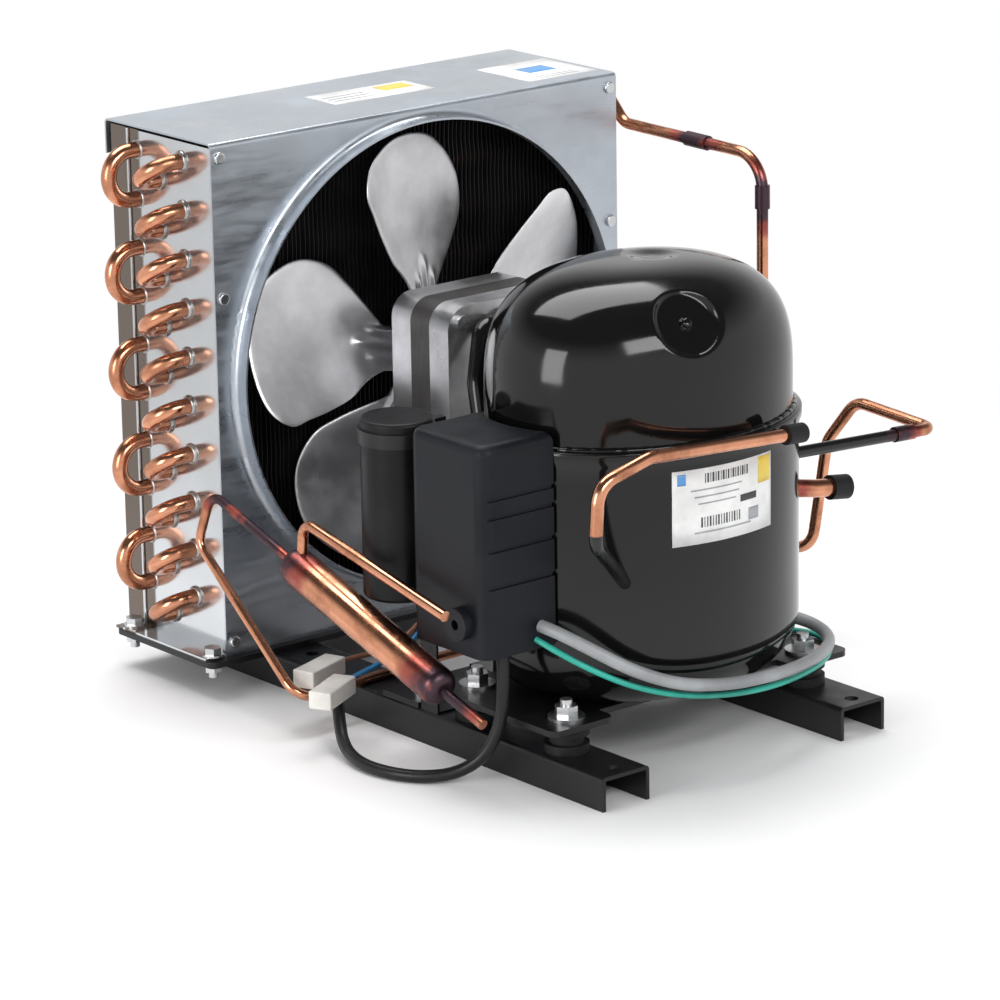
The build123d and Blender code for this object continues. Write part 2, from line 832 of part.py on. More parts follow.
with BuildPart() as foot_nuts:
    with BuildSketch(Plane.XY.offset(shell_bottom + foot_washer)):
        with Locations(*foot_points):
            RegularPolygon(5.0, 6, major_radius=False)
            Circle(foot_bolt_d / 2, mode=Mode.SUBTRACT)
    extrude(amount=foot_nut)
save(foot_nuts.part, "foot_nuts")

# ---------------------------------------------------------------- pump inside the shell
pump_z = 66.0
pump_bore = 7.0
with BuildPart() as pump_stator:
    with BuildSketch(Plane.XY.offset(pump_z)):
        with Locations((comp_x, comp_y)):
            Circle(52.0)
            Circle(29.5, mode=Mode.SUBTRACT)
    extrude(amount=34.0)
save(pump_stator.part, "pump_stator")

with BuildPart() as pump_crankshaft:
    with BuildSketch(Plane.XY.offset(pump_z - 8.0)):
        with Locations((comp_x, comp_y)):
            Circle(pump_bore)
    extrude(amount=84.0)
    with BuildSketch(Plane.XY.offset(pump_z + 76.0)):
        with Locations((comp_x + 9.0, comp_y)):
            Circle(5.0)
    extrude(amount=18.0)
save(pump_crankshaft.part, "pump_crankshaft")

with BuildPart() as pump_rotor:
    with BuildSketch(Plane.XY.offset(pump_z)):
        with Locations((comp_x, comp_y)):
            Circle(29.0)
            Circle(pump_bore, mode=Mode.SUBTRACT)
    extrude(amount=34.0)
save(pump_rotor.part, "pump_rotor")

block_z = pump_z + 38.0
with BuildPart() as pump_block:
    with BuildSketch(Plane.XY.offset(block_z)):
        with Locations((comp_x, comp_y)):
            Circle(46.0)
            Circle(pump_bore + 0.05, mode=Mode.SUBTRACT)
    extrude(amount=30.0)
    with BuildSketch(Plane.XY.offset(block_z + 30.0)):
        with Locations((comp_x + 45.0, comp_y)):
            Rectangle(26.0, 34.0)
    extrude(amount=30.0)
    with BuildSketch(Plane.YZ.offset(comp_x + 30.0)):
        with Locations((comp_y, block_z + 46.0)):
            Circle(11.0)
    extrude(amount=25.0, mode=Mode.SUBTRACT)
    with BuildSketch(Plane.XY.offset(pump_z + 34.0)):
        with Locations((comp_x, comp_y)):
            with PolarLocations(41.0, 4, start_angle=45.0):
                Circle(4.0)
    extrude(amount=4.0)
save(pump_block.part, "pump_block")

with BuildPart() as pump_piston:
    with BuildSketch(Plane.YZ.offset(comp_x + 32.0)):
        with Locations((comp_y, block_z + 46.0)):
            Circle(10.97)
    extrude(amount=16.0)
save(pump_piston.part, "pump_piston")

with BuildPart() as pump_rod:
    with BuildSketch(Plane.XY.offset(block_z + 42.0)):
        with Locations((comp_x + 9.0, comp_y)):
            Circle(9.0)
        with Locations((comp_x + 24.0, comp_y)):
            Rectangle(16.0, 8.0)
        with Locations((comp_x + 9.0, comp_y)):
            Circle(5.05, mode=Mode.SUBTRACT)
    extrude(amount=8.0)
save(pump_rod.part, "pump_rod")

with BuildPart() as pump_springs:
    spring_spots = [
        (comp_x + dx * 28.0, comp_y + dy * 22.0) for dx in (-1, 1) for dy in (-1, 1)
    ]
    with BuildSketch(Plane.XY.offset(shell_bottom + shell_wall)):
        with Locations(*spring_spots):
            Circle(7.0)
            Circle(5.0, mode=Mode.SUBTRACT)
    extrude(amount=pump_z - shell_bottom - shell_wall)
save(pump_springs.part, "pump_springs")


# ---------------------------------------------------------------- terminal cover
def cover_block(inset):
    """Rounded block of the cover, shrunk by an inset on every outer side."""
    x1 = comp_x - 30.0
    with BuildPart() as block:
        with BuildSketch(Plane.XY.offset(cover_z0 + inset)) as plan:
            with Locations(
                ((cover_x0 + inset + x1) / 2, (cover_y0 + cover_y1) / 2)
            ):
                Rectangle(x1 - cover_x0 - inset, cover_y1 - cover_y0 - 2 * inset)
            fillet(plan.vertices().group_by(Axis.X)[0], 7.0 - inset)
        extrude(amount=cover_z1 - cover_z0 - 2 * inset)
        fillet(block.faces().sort_by(Axis.Z)[-1].edges(), 5.0 - inset)
    return block.part


with BuildPart() as terminal_cover:
    add(cover_block(0.0))
    add(cover_block(cover_wall), mode=Mode.SUBTRACT)
    add(
        lower_form(
            lower_a + bead_size + 0.3, lower_b + bead_size + 0.3, 0.0, cover_z1 + 20.0, 1.0
        ),
        mode=Mode.SUBTRACT,
    )
    with BuildSketch(Plane.YZ.offset(cover_x0)):
        with Locations((-108.2, 84.8)):
            Circle(8.0)
    extrude(amount=-5.0)
    with BuildSketch(Plane.YZ.offset(cover_x0 - 5.0)):
        with Locations((-108.2, 84.8)):
            Circle(2.5)
    extrude(amount=4.0, mode=Mode.SUBTRACT)
    with BuildSketch(Plane.XZ.offset(-cover_y0)):
        with Locations(*[((cover_x0 + comp_x) / 2, z) for z in cover_groove_zs]):
            Rectangle(comp_x - cover_x0, cover_groove)
    extrude(amount=-cover_groove / 2, mode=Mode.SUBTRACT)
save(terminal_cover.part, "terminal_cover")

fence_z = 118.0
with BuildPart() as terminal_pins:
    with BuildSketch(Plane.YZ.offset(comp_x - lower_a - 12.0)):
        for angle in (90, 210, 330):
            with Locations(
                (
                    comp_y + 8.0 * math.cos(math.radians(angle)),
                    fence_z + 8.0 * math.sin(math.radians(angle)),
                )
            ):
                Circle(1.6)
    extrude(amount=14.0)
    add(lower_outer, mode=Mode.SUBTRACT)
save(terminal_pins.part, "terminal_pins")

with BuildPart() as start_relay:
    with BuildSketch(Plane.YZ.offset(comp_x - lower_a - 12.0)):
        with Locations((comp_y, fence_z)):
            RectangleRounded(34.0, 40.0, 3.0)
    extrude(amount=-16.0)
save(start_relay.part, "start_relay")

with BuildPart() as overload:
    with BuildSketch(Plane.YZ.offset(comp_x - lower_a - 28.0)):
        with Locations((comp_y, fence_z)):
            Circle(12.0)
    extrude(amount=-7.0)
save(overload.part, "overload_protector")

# ---------------------------------------------------------------- capacitor
with BuildPart() as capacitor:
    with BuildSketch(Plane.XY.offset(cap_z0)):
        with Locations((cap_x, cap_y)):
            Circle(cap_d / 2)
    extrude(amount=cap_z1 - cap_z0)
    fillet(capacitor.edges().filter_by(GeomType.CIRCLE), 2.0)
save(capacitor.part, "capacitor")

clip = 1.2
strap_drop = 12.0
strap_height = 7.0
strap_lug = 10.0
shelf_x0 = cap_x - 12.0
with BuildPart() as capacitor_bracket:
    web_x = rail_left_x - rail_width / 2 + 1.0
    with BuildSketch(Plane.XZ.offset(-(cap_y + 7.0))):
        with BuildLine():
            Polyline(
                (shelf_x0, cap_z0),
                (web_x + clip, cap_z0),
                (web_x + clip, rail_height + clip),
                (rail_left_x + 8.0, rail_height + clip),
                (rail_left_x + 8.0, rail_height),
                (web_x, rail_height),
                (web_x, cap_z0 - clip),
                (shelf_x0, cap_z0 - clip),
                close=True,
            )
        make_face()
    extrude(amount=13.0)
    with BuildSketch(Plane.XY.offset(cap_z1 - strap_drop)):
        with Locations((cap_x, cap_y)):
            Circle(cap_d / 2 + clip)
            Circle(cap_d / 2, mode=Mode.SUBTRACT)
        with Locations((cap_x + cap_d / 2 + strap_lug / 2, cap_y)):
            Rectangle(strap_lug, strap_lug / 2)
    extrude(amount=strap_height)
save(capacitor_bracket.part, "capacitor_bracket")

# ---------------------------------------------------------------- copper lines
def tube(points, radii, diameter, cutters=()):
    """Round bar along straight runs joined by arcs, trimmed where it meets a cutter."""
    with BuildPart() as bar:
        with BuildLine() as route:
            FilletPolyline(*points, radius=radii)
        with BuildSketch(Plane(origin=route.line @ 0, z_dir=route.line % 0)):
            Circle(diameter / 2)
        sweep()
        for cutter in cutters:
            add(cutter, mode=Mode.SUBTRACT)
    return bar.part


coil_right = shroud_mid_x + fin_half
riser_x = shroud_right + 13.0
inlet = (row_ys[0], tube_z(0, 0))
outlet = (row_ys[2], tube_z(2, 0))
riser_y = -11.5
return_x = shroud_right + 19.0

discharge_route = [
    (50.0, -122.0, 133.5),
    (151.0, -127.5, 130.0),
    (151.0, -72.0, 133.0),
    (146.0, -56.0, 110.0),
    (145.0, -46.0, 52.0),
    (riser_x, riser_y, 42.0),
    (riser_x, riser_y, 252.0),
    (riser_x, 96.0, 253.5),
    (riser_x, *inlet),
    (coil_right, *inlet),
]
sleeve_wall = 0.9
line_sleeves = [
    ((riser_x, 30.0, 252.6), (0, 107.5, 1.5), 16.0),
    ((riser_x, riser_y, 225.0), (0, 0, 1), 12.0),
    ((126.0, -125.9, 131.0), (101.0, -5.5, -3.5), 12.0),
]
with BuildPart() as discharge_line:
    add(tube(discharge_route, [6, 12, 16, 14, 12, 18, 10, 7], line_d, (upper_outer, lower_outer)))
    for start, way, length in line_sleeves:
        with BuildSketch(Plane(origin=start, z_dir=way)):
            Circle(line_d / 2 + sleeve_wall)
        extrude(amount=length)
save(discharge_line.part, "discharge_line")

drier_x = -144.5
drier_in = (drier_x, 15.6, 89.3)
drier_out = (drier_x, -102.7, 51.0)
drier_back = (Vector(*drier_in) - Vector(*drier_out)).normalized()
liquid_route = [
    (coil_right, *outlet),
    (riser_x, *outlet),
    (riser_x, row_ys[2] + 18.0, outlet[1]),
    (return_x, row_ys[2] + 18.0, 24.0),
    (return_x, 62.0, 24.0),
    (112.0, 17.0, rail_height + liquid_d / 2),
    (-60.0, 17.0, rail_height + liquid_d / 2),
    (-147.5, 9.0, rail_height + liquid_d / 2),
    (-147.0, 89.0, 83.0),
    tuple(Vector(*drier_in) + drier_back * 68.0),
    drier_in,
]
with BuildPart() as liquid_line:
    add(tube(liquid_route, [6, 8, 12, 18, 25, 60, 11, 9, 9], liquid_d))
save(liquid_line.part, "liquid_line")

drier_length = math.dist(drier_in, drier_out)
drier_axis = Plane(
    origin=drier_in, z_dir=(0, drier_out[1] - drier_in[1], drier_out[2] - drier_in[2])
)
with BuildPart() as filter_drier:
    with BuildSketch(drier_axis):
        Circle(drier_d / 2)
    extrude(amount=drier_length)
    fillet(filter_drier.edges().filter_by(GeomType.CIRCLE), drier_d / 2 - 3.4)
    with BuildSketch(drier_axis.offset(drier_length)):
        Circle(2.6)
    extrude(amount=30.0)
save(filter_drier.part, "filter_drier")

process_route = [
    (drier_x, 6.3, 94.2),
    (-145.0, 4.0, 112.0),
    (-149.0, -110.0, 91.0),
]
with BuildPart() as drier_seat:
    with BuildSketch(drier_axis):
        Circle(drier_d / 2 + braze_gap)
    extrude(amount=drier_length)
with BuildPart() as process_tube:
    add(tube(process_route, [8], 5.4, (drier_seat.part,)))
save(process_tube.part, "drier_process_tube")

stub_route = [
    (-60.0, -140.0, 92.0),
    (-110.5, -174.0, 132.0),
    (-109.0, -174.5, 160.0),
    (-78.0, -174.5, 168.0),
    (22.0, -168.5, 160.0),
]
with BuildPart() as process_stub:
    add(tube(stub_route, [9, 12, 20], stub_d, (lower_outer,)))
save(process_stub.part, "process_stub")

suction_route = [(50.0, -110.0, 115.0), (80.0, -118.0, 110.5), (97.0, -119.5, 108.5)]
with BuildPart() as suction_stub:
    add(tube(suction_route, [30], 9.0, (lower_outer,)))
save(suction_stub.part, "suction_stub")


def cap(tip, before, inner, outer, length):
    """Rubber cap pushed over the end of a stub, seated on its end face and side."""
    axis = Vector(*tip) - Vector(*before)
    plane = Plane(origin=tip, z_dir=axis.normalized())
    with BuildPart() as form:
        with BuildSketch(plane.offset(-length + 2.5)):
            Circle(outer)
        extrude(amount=length)
        with BuildSketch(plane.offset(-length + 2.5)):
            Circle(inner)
        extrude(amount=length - 2.5, mode=Mode.SUBTRACT)
    return form.part


with BuildPart() as stub_caps:
    add(cap(stub_route[-1], stub_route[-2], stub_d / 2 + 0.02, stub_d / 2 + 1.6, 12.0))
    add(cap(suction_route[-1], suction_route[-2], 4.52, 6.2, 11.0))
save(stub_caps.part, "stub_caps")

# ---------------------------------------------------------------- connectors and leads
connector_z = rail_height + liquid_d + 0.4
connector_spots = [((-125.0, 21.0), 20.0), ((-140.0, -9.0), 28.0)]
with BuildPart() as wire_connectors:
    for (x, y), turn in connector_spots:
        with BuildSketch(Plane.XY.offset(connector_z)):
            with Locations(Location((x, y), turn)):
                Rectangle(30.0, 12.0)
        extrude(amount=9.0)
    fillet(wire_connectors.edges(), 0.8)
save(wire_connectors.part, "wire_connectors")


def bend_radii(route, diameter, name):
    """Largest arc at each corner that its two runs allow, printed for the record."""
    points = [Vector(*p) for p in route]
    radii = []
    for a, b, c in zip(points, points[1:], points[2:]):
        turn = math.radians((b - a).get_angle(c - b))
        run = min((b - a).length, (c - b).length)
        radii.append(0.45 * run / math.tan(turn / 2))
    length = sum((b - a).length for a, b in zip(points, points[1:]))
    print(name, "least radius", round(min(radii), 1), "runs", round(length, 1), "mm")
    return radii


def make_cord(route, diameter, name, cutters=()):
    radii = bend_radii(route, diameter, name)
    with BuildPart() as cord:
        with BuildLine() as line:
            FilletPolyline(*route, radius=radii)
        with BuildSketch(Plane(origin=line.line @ 0, z_dir=line.line % 0)):
            Circle(diameter / 2)
        sweep()
        for cutter in cutters:
            add(cutter, mode=Mode.SUBTRACT)
    section = math.pi * diameter**2 / 4
    length = sum(edge.length for edge in line.edges())
    print(name, "length", round(length, 1), "volume ratio",
          round(cord.part.volume / (section * length), 4))
    save(cord.part, name)


black_cable_route = [
    (-116.0, -112.0, cover_z0),
    (-116.0, -112.0, 51.0),
    (-117.2, -111.5, 32.0),
    (-122.5, -106.0, 15.0),
    (-132.0, -96.0, 5.6),
    (-144.0, -84.0, 3.3),
    (-152.5, -68.5, 3.4),
    (-154.5, -50.0, 3.6),
    (-150.0, -32.0, 5.0),
    (-142.5, -17.5, 10.5),
    (-136.0, -8.0, connector_z),
]
make_cord(black_cable_route, 6.2, "black_cable", (wire_connectors.part,))

grey_cable_route = [
    (-103.0, cover_y0, 80.0),
    (-101.5, -134.0, 79.0),
    (-92.0, -148.0, 71.5),
    (-76.0, -160.5, 60.0),
    (-55.0, -170.0, 51.0),
    (-30.0, -175.5, 47.0),
    (-3.0, -176.0, 45.5),
    (23.0, -170.5, 44.0),
    (45.0, -161.0, 43.0),
    (62.0, -148.5, 42.5),
    (71.0, -134.0, 43.0),
    (72.0, -118.5, 44.5),
    (63.0, -106.0, 47.0),
    (50.0, -100.0, 50.0),
]
make_cord(grey_cable_route, 6.2, "grey_cable", (lower_outer,))

green_wire_route = [
    (-106.0, cover_y0, 74.0),
    (-104.0, -133.0, 71.0),
    (-93.0, -146.0, 62.0),
    (-74.0, -158.0, 51.0),
    (-50.0, -166.5, 43.5),
    (-23.0, -171.0, 39.3),
    (5.0, -170.5, 37.5),
    (31.0, -164.0, 36.5),
    (53.0, -153.5, 35.4),
    (70.0, -140.5, 34.8),
    (80.0, -125.0, 34.7),
    (80.5, -108.0, 34.7),
    (70.0, -96.0, 34.7),
]
make_cord(green_wire_route, 3.0, "green_wire")

motor_under = fan_z - motor_size / 2
blue_wire_route = [
    (-126.8, -2.0, connector_z + 5.0),
    (-113.0, 5.0, connector_z + 4.5),
    (-95.0, 10.0, 27.0),
    (-76.0, 12.0, 31.0),
    (-60.0, 14.0, 43.0),
    (-48.0, 17.0, 60.0),
    (-39.0, 21.0, 80.0),
    (-35.0, 24.5, 100.0),
    (-34.0, 26.0, motor_under),
]
make_cord(blue_wire_route, 2.6, "blue_wire")

brown_wire_route = [
    (-110.9, 26.1, connector_z + 5.0),
    (-98.0, 27.5, connector_z + 4.5),
    (-82.0, 25.5, 27.0),
    (-65.0, 23.5, 33.0),
    (-51.0, 23.5, 45.0),
    (-39.0, 24.0, 62.0),
    (-30.0, 25.0, 82.0),
    (-26.0, 26.0, 101.0),
    (-25.0, 26.5, motor_under),
]
make_cord(brown_wire_route, 2.6, "brown_wire")
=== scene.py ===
# %% [markdown]
# # A refrigeration condensing unit
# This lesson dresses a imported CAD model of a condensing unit: a welded compressor, a
# finned coil in a zinc-coated shroud, a fan, and the copper lines between them.  The CAD
# says where everything is.  Blender gives each surface its finish, and remakes the round
# and drawn pieces as smooth surfaces worked out with numpy.

# %% Load the frame
import json
import math

import bmesh
import bpy
import numpy as np
from mathutils import Matrix, Vector


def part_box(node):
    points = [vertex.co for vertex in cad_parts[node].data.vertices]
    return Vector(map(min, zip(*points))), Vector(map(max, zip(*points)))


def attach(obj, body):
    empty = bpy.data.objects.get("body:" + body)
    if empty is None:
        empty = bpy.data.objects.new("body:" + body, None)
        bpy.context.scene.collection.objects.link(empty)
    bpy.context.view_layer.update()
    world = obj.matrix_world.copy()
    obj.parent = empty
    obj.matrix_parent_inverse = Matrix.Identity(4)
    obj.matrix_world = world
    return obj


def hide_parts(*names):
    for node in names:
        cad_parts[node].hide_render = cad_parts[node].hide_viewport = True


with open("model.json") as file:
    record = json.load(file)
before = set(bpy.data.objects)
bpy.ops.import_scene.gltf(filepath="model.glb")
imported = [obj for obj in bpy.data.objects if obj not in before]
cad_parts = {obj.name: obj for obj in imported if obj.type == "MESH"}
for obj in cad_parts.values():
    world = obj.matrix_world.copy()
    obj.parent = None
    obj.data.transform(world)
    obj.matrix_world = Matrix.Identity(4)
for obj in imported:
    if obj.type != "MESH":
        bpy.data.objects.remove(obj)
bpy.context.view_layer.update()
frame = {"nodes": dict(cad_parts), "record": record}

nodes = frame["nodes"]

# %% [markdown]
# ## Places
# Sizes are in millimetres and turned into metres by one factor.  Most places come from
# the boxes of CAD nodes, so a piece follows its node when the CAD changes.

# %% Units and boxes
MM = 0.001


def box_mm(node):
    """Lowest and highest corner of a CAD node in millimetres."""
    low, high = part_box(node)
    return np.array(low) / MM, np.array(high) / MM


shroud_low, shroud_high = box_mm("shroud")
rotor_low, rotor_high = box_mm("motor_rotor")
fan_centre = np.array(
    [(rotor_low[0] + rotor_high[0]) / 2, 0.0, (rotor_low[2] + rotor_high[2]) / 2]
)
lower_low, lower_high = box_mm("compressor_lower_shell")
upper_low, upper_high = box_mm("compressor_upper_shell")
comp_centre = (lower_low + lower_high) / 2
print("fan axis", fan_centre, "compressor", comp_centre)

# %% [markdown]
# ## The camera
# A long lens stands off the compressor corner, a little above the unit, with a slight
# roll.  The matrix columns are right, up and backwards.

# %% Camera
azimuth, elevation, roll = 0.684, 0.2822, -0.0165
eye = np.array([-1503.9, -1813.9, 778.5])
lens = 175.5

ahead = np.array([
    math.sin(azimuth) * math.cos(elevation),
    math.cos(azimuth) * math.cos(elevation),
    -math.sin(elevation),
])
level_right = np.array([math.cos(azimuth), -math.sin(azimuth), 0.0])
level_up = np.cross(level_right, ahead)
cam_right = math.cos(roll) * level_right + math.sin(roll) * level_up
cam_up = -math.sin(roll) * level_right + math.cos(roll) * level_up
camera_data = bpy.data.cameras.new("camera")
camera_data.lens = lens
camera_data.sensor_width = 36.0
camera_data.clip_start = 0.05
camera_data.clip_end = 50.0
camera = bpy.data.objects.new("camera", camera_data)
bpy.context.scene.collection.objects.link(camera)
pose = np.eye(4)
pose[:3, 0], pose[:3, 1], pose[:3, 2], pose[:3, 3] = cam_right, cam_up, -ahead, eye * MM
camera.matrix_world = Matrix(pose.tolist())
bpy.context.scene.camera = camera
bpy.context.scene.view_settings.view_transform = "Standard"

# %% [markdown]
# ## Mesh helpers
# A surface is a grid of points, rows by columns, joined into quads.  Numbering the grid
# once as an array and shifting it gives all quads without a loop over vertices.

# %% Grids to meshes
def link(name, mesh, body):
    """Put a mesh into the scene as a piece that rides on a body."""
    piece = bpy.data.objects.new(name, mesh)
    bpy.context.scene.collection.objects.link(piece)
    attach(piece, body)
    return piece


def quads(rows, cols, close_rows=False, close_cols=False, start=0):
    """Quad corners of a grid, wrapped round in either direction."""
    index = np.arange(rows * cols).reshape(rows, cols) + start
    if close_rows:
        index = np.vstack([index, index[:1]])
    if close_cols:
        index = np.hstack([index, index[:, :1]])
    return np.stack(
        [index[:-1, :-1], index[1:, :-1], index[1:, 1:], index[:-1, 1:]], -1
    ).reshape(-1, 4)


def mesh_from(name, points, faces, smooth=True):
    """Mesh from points in millimetres and a list of faces."""
    mesh = bpy.data.meshes.new(name)
    mesh.from_pydata((np.asarray(points) * MM).tolist(), [], [list(f) for f in faces])
    mesh.validate()
    mesh.update()
    mesh.polygons.foreach_set("use_smooth", [smooth] * len(mesh.polygons))
    return mesh


class Bunch:
    """Points and faces gathered from several surfaces before they become one mesh."""

    def __init__(self):
        self.points = []
        self.faces = []
        self.count = 0

    def add(self, points, faces):
        points = np.asarray(points, float).reshape(-1, 3)
        self.faces.extend([[int(i) + self.count for i in face] for face in faces])
        self.points.append(points)
        self.count += len(points)

    def grid(self, grid, close_rows=False, close_cols=False, cap_ends=False):
        rows, cols = grid.shape[:2]
        faces = quads(rows, cols, close_rows, close_cols).tolist()
        if cap_ends:
            faces.append(list(range(cols))[::1])
            faces.append([(rows - 1) * cols + k for k in range(cols)][::-1])
        self.add(grid.reshape(-1, 3), faces)

    def mesh(self, name, smooth=True):
        return mesh_from(name, np.vstack(self.points), self.faces, smooth)


# %% [markdown]
# ## A tube along a bent route
# A tube bender makes straight runs joined by arcs.  A ring is carried along the route,
# turned as little as possible from one point to the next, so the tube doesn't twist.

# %% Routes and tubes
def carried_frames(path):
    """Two unit vectors across the path at each point, with least turning between points."""
    tangent = np.gradient(path, axis=0)
    tangent /= np.linalg.norm(tangent, axis=1)[:, None]
    side = np.cross(tangent[0], [0.0, 0.0, 1.0])
    if np.linalg.norm(side) < 0.2:
        side = np.cross(tangent[0], [1.0, 0.0, 0.0])
    sides = []
    for t in tangent:
        side = side - t * (side @ t)
        side = side / np.linalg.norm(side)
        sides.append(side)
    sides = np.array(sides)
    return sides, np.cross(tangent, sides), tangent


def tube_grid(path, radius, around=20):
    """Ring of points round each path point; radius may differ along the path."""
    sides, ups, _ = carried_frames(path)
    angle = np.linspace(0, 2 * np.pi, around, endpoint=False)
    radius = np.broadcast_to(np.asarray(radius, float), (len(path),))[:, None, None]
    cosine, sine = np.cos(angle)[None, :, None], np.sin(angle)[None, :, None]
    ring = cosine * sides[:, None] + sine * ups[:, None]
    return path[:, None] + radius * ring


def turned_grid(profile, origin, axis, around=64):
    """Surface of revolution: profile rows are (distance from axis, height along it)."""
    axis = np.array(axis, float) / np.linalg.norm(axis)
    side = np.cross(axis, [0.0, 0.0, 1.0])
    if np.linalg.norm(side) < 0.2:
        side = np.array([1.0, 0.0, 0.0])
    side /= np.linalg.norm(side)
    other = np.cross(axis, side)
    angle = np.linspace(0, 2 * np.pi, around, endpoint=False)
    profile = np.array(profile, float)
    ring = np.cos(angle)[None, :, None] * side + np.sin(angle)[None, :, None] * other
    return (
        np.array(origin, float)
        + profile[:, 0, None, None] * ring
        + profile[:, 1, None, None] * axis
    )


# %% [markdown]
# ## Materials
# Each finish is one shader whose colour, roughness and bump follow noise in Object
# coordinates, so its grain has a real size in metres and stays put when a body turns.

# %% Shader building blocks
class Finish:
    """A Principled material with short calls for the nodes that vary it."""

    def __init__(self, name, colour, roughness, metallic=0.0, **sockets):
        self.material = bpy.data.materials.new(name)
        self.material.use_nodes = True
        self.tree = self.material.node_tree
        self.shader = self.tree.nodes["Principled BSDF"]
        self.shader.inputs["Base Color"].default_value = (*colour, 1.0)
        self.shader.inputs["Roughness"].default_value = roughness
        self.shader.inputs["Metallic"].default_value = metallic
        for socket, value in sockets.items():
            self.shader.inputs[socket.replace("_", " ")].default_value = value
        self.material.diffuse_color = (*colour, 1.0)
        self.place = self.node("TexCoord").outputs["Object"]
        self.normal = None

    def node(self, kind, **settings):
        node = self.tree.nodes.new("ShaderNode" + kind)
        for key, value in settings.items():
            setattr(node, key, value)
        return node

    def join(self, source, target):
        self.tree.links.new(source, target)

    def feed(self, target, value):
        """Give a socket a link or a plain number."""
        if hasattr(value, "is_output"):
            self.join(value, target)
        elif hasattr(target.default_value, "__len__") and not hasattr(value, "__len__"):
            target.default_value = [value] * len(target.default_value)
        elif hasattr(target.default_value, "__len__") and len(target.default_value) == 4:
            target.default_value = (*value, 1.0)
        else:
            target.default_value = value

    def stretched(self, factors):
        mapping = self.node("Mapping")
        self.join(self.place, mapping.inputs["Vector"])
        self.feed(mapping.inputs["Scale"], factors)
        return mapping.outputs["Vector"]

    def noise(self, scale, detail=3.0, stretch=None, rough=0.55):
        node = self.node("TexNoise")
        self.join(self.stretched(stretch) if stretch else self.place, node.inputs["Vector"])
        self.feed(node.inputs["Scale"], scale)
        node.inputs["Detail"].default_value = detail
        node.inputs["Roughness"].default_value = rough
        return node.outputs["Fac"]

    def cells(self, scale, output="Color"):
        node = self.node("TexVoronoi")
        self.join(self.place, node.inputs["Vector"])
        node.inputs["Scale"].default_value = scale
        return node.outputs[output]

    def math(self, operation, a, b=0.0, clamp=False):
        node = self.node("Math", operation=operation, use_clamp=clamp)
        self.feed(node.inputs[0], a)
        self.feed(node.inputs[1], b)
        return node.outputs[0]

    def span(self, value, low, high, to_low=0.0, to_high=1.0):
        """Map a range of a value smoothly onto another range, held at both ends."""
        node = self.node("MapRange", interpolation_type="SMOOTHSTEP")
        for socket, number in zip(("Value", "From Min", "From Max", "To Min", "To Max"),
                                  (value, low, high, to_low, to_high)):
            self.feed(node.inputs[socket], number)
        return node.outputs["Result"]

    def mix(self, factor, a, b):
        node = self.node("Mix", data_type="RGBA")
        self.feed(node.inputs[0], factor)
        self.feed(node.inputs[6], a)
        self.feed(node.inputs[7], b)
        return node.outputs[2]

    def axis(self, letter):
        """One coordinate of the surface point, in metres."""
        node = self.node("SeparateXYZ")
        self.join(self.place, node.inputs[0])
        return node.outputs[letter]

    def use(self, effect, **values):
        """Place a shared effect in this material with its own values."""
        node = self.tree.nodes.new("ShaderNodeGroup")
        node.node_tree = effect.tree
        for socket, value in values.items():
            self.feed(node.inputs[socket.replace("_", " ")], value)
        return node.outputs

    def facing_up(self):
        """1 on faces that look up, where dust settles."""
        geometry = self.node("NewGeometry")
        node = self.node("SeparateXYZ")
        self.join(geometry.outputs["Normal"], node.inputs[0])
        return self.span(node.outputs["Z"], 0.5, 1.0)

    def bump(self, height, distance, strength=1.0):
        """Raise the surface by a height field; several calls add up."""
        node = self.node("Bump")
        node.inputs["Strength"].default_value = strength
        node.inputs["Distance"].default_value = distance * MM
        self.join(height, node.inputs["Height"])
        if self.normal:
            self.join(self.normal, node.inputs["Normal"])
        self.normal = node.outputs["Normal"]
        self.join(self.normal, self.shader.inputs["Normal"])

    def set(self, socket, value):
        self.feed(self.shader.inputs[socket.replace("_", " ")], value)


# %% [markdown]
# ## Shared effects
# What several materials have in common is one node group each, with named sockets: a
# cloudy grain, crystal spangle, dulled copper, and the stain that a torch leaves.

# %% Node groups
class Effect(Finish):
    """A shader node group, filled with the same short calls as a material."""

    def __init__(self, name, inputs, outputs):
        self.tree = bpy.data.node_groups.new(name, "ShaderNodeTree")
        for in_out, sockets in (("INPUT", inputs), ("OUTPUT", outputs)):
            for socket, kind in sockets.items():
                self.tree.interface.new_socket(
                    name=socket, in_out=in_out, socket_type="NodeSocket" + kind)
        self.given = self.tree.nodes.new("NodeGroupInput").outputs
        self.gives = self.tree.nodes.new("NodeGroupOutput").inputs
        self.place = self.node("TexCoord").outputs["Object"]

    def give(self, **values):
        for socket, value in values.items():
            self.join(value, self.gives[socket.replace("_", " ")])


mottle = Effect(
    "mottled_grain",
    {"Dark": "Color", "Light": "Color", "Cloud Scale": "Float", "Roughness Low": "Float",
     "Roughness High": "Float", "Grain Scale": "Float", "Grain Stretch": "Vector"},
    {"Color": "Color", "Roughness": "Float", "Grain": "Float"})
cloud = mottle.span(mottle.noise(mottle.given["Cloud Scale"], 5.0, rough=0.6), 0.3, 0.75)
mottle.give(
    Color=mottle.mix(cloud, mottle.given["Dark"], mottle.given["Light"]),
    Roughness=mottle.span(
        cloud, 0.0, 1.0, mottle.given["Roughness Low"], mottle.given["Roughness High"]),
    Grain=mottle.noise(mottle.given["Grain Scale"], 3.0, stretch=mottle.given["Grain Stretch"]))

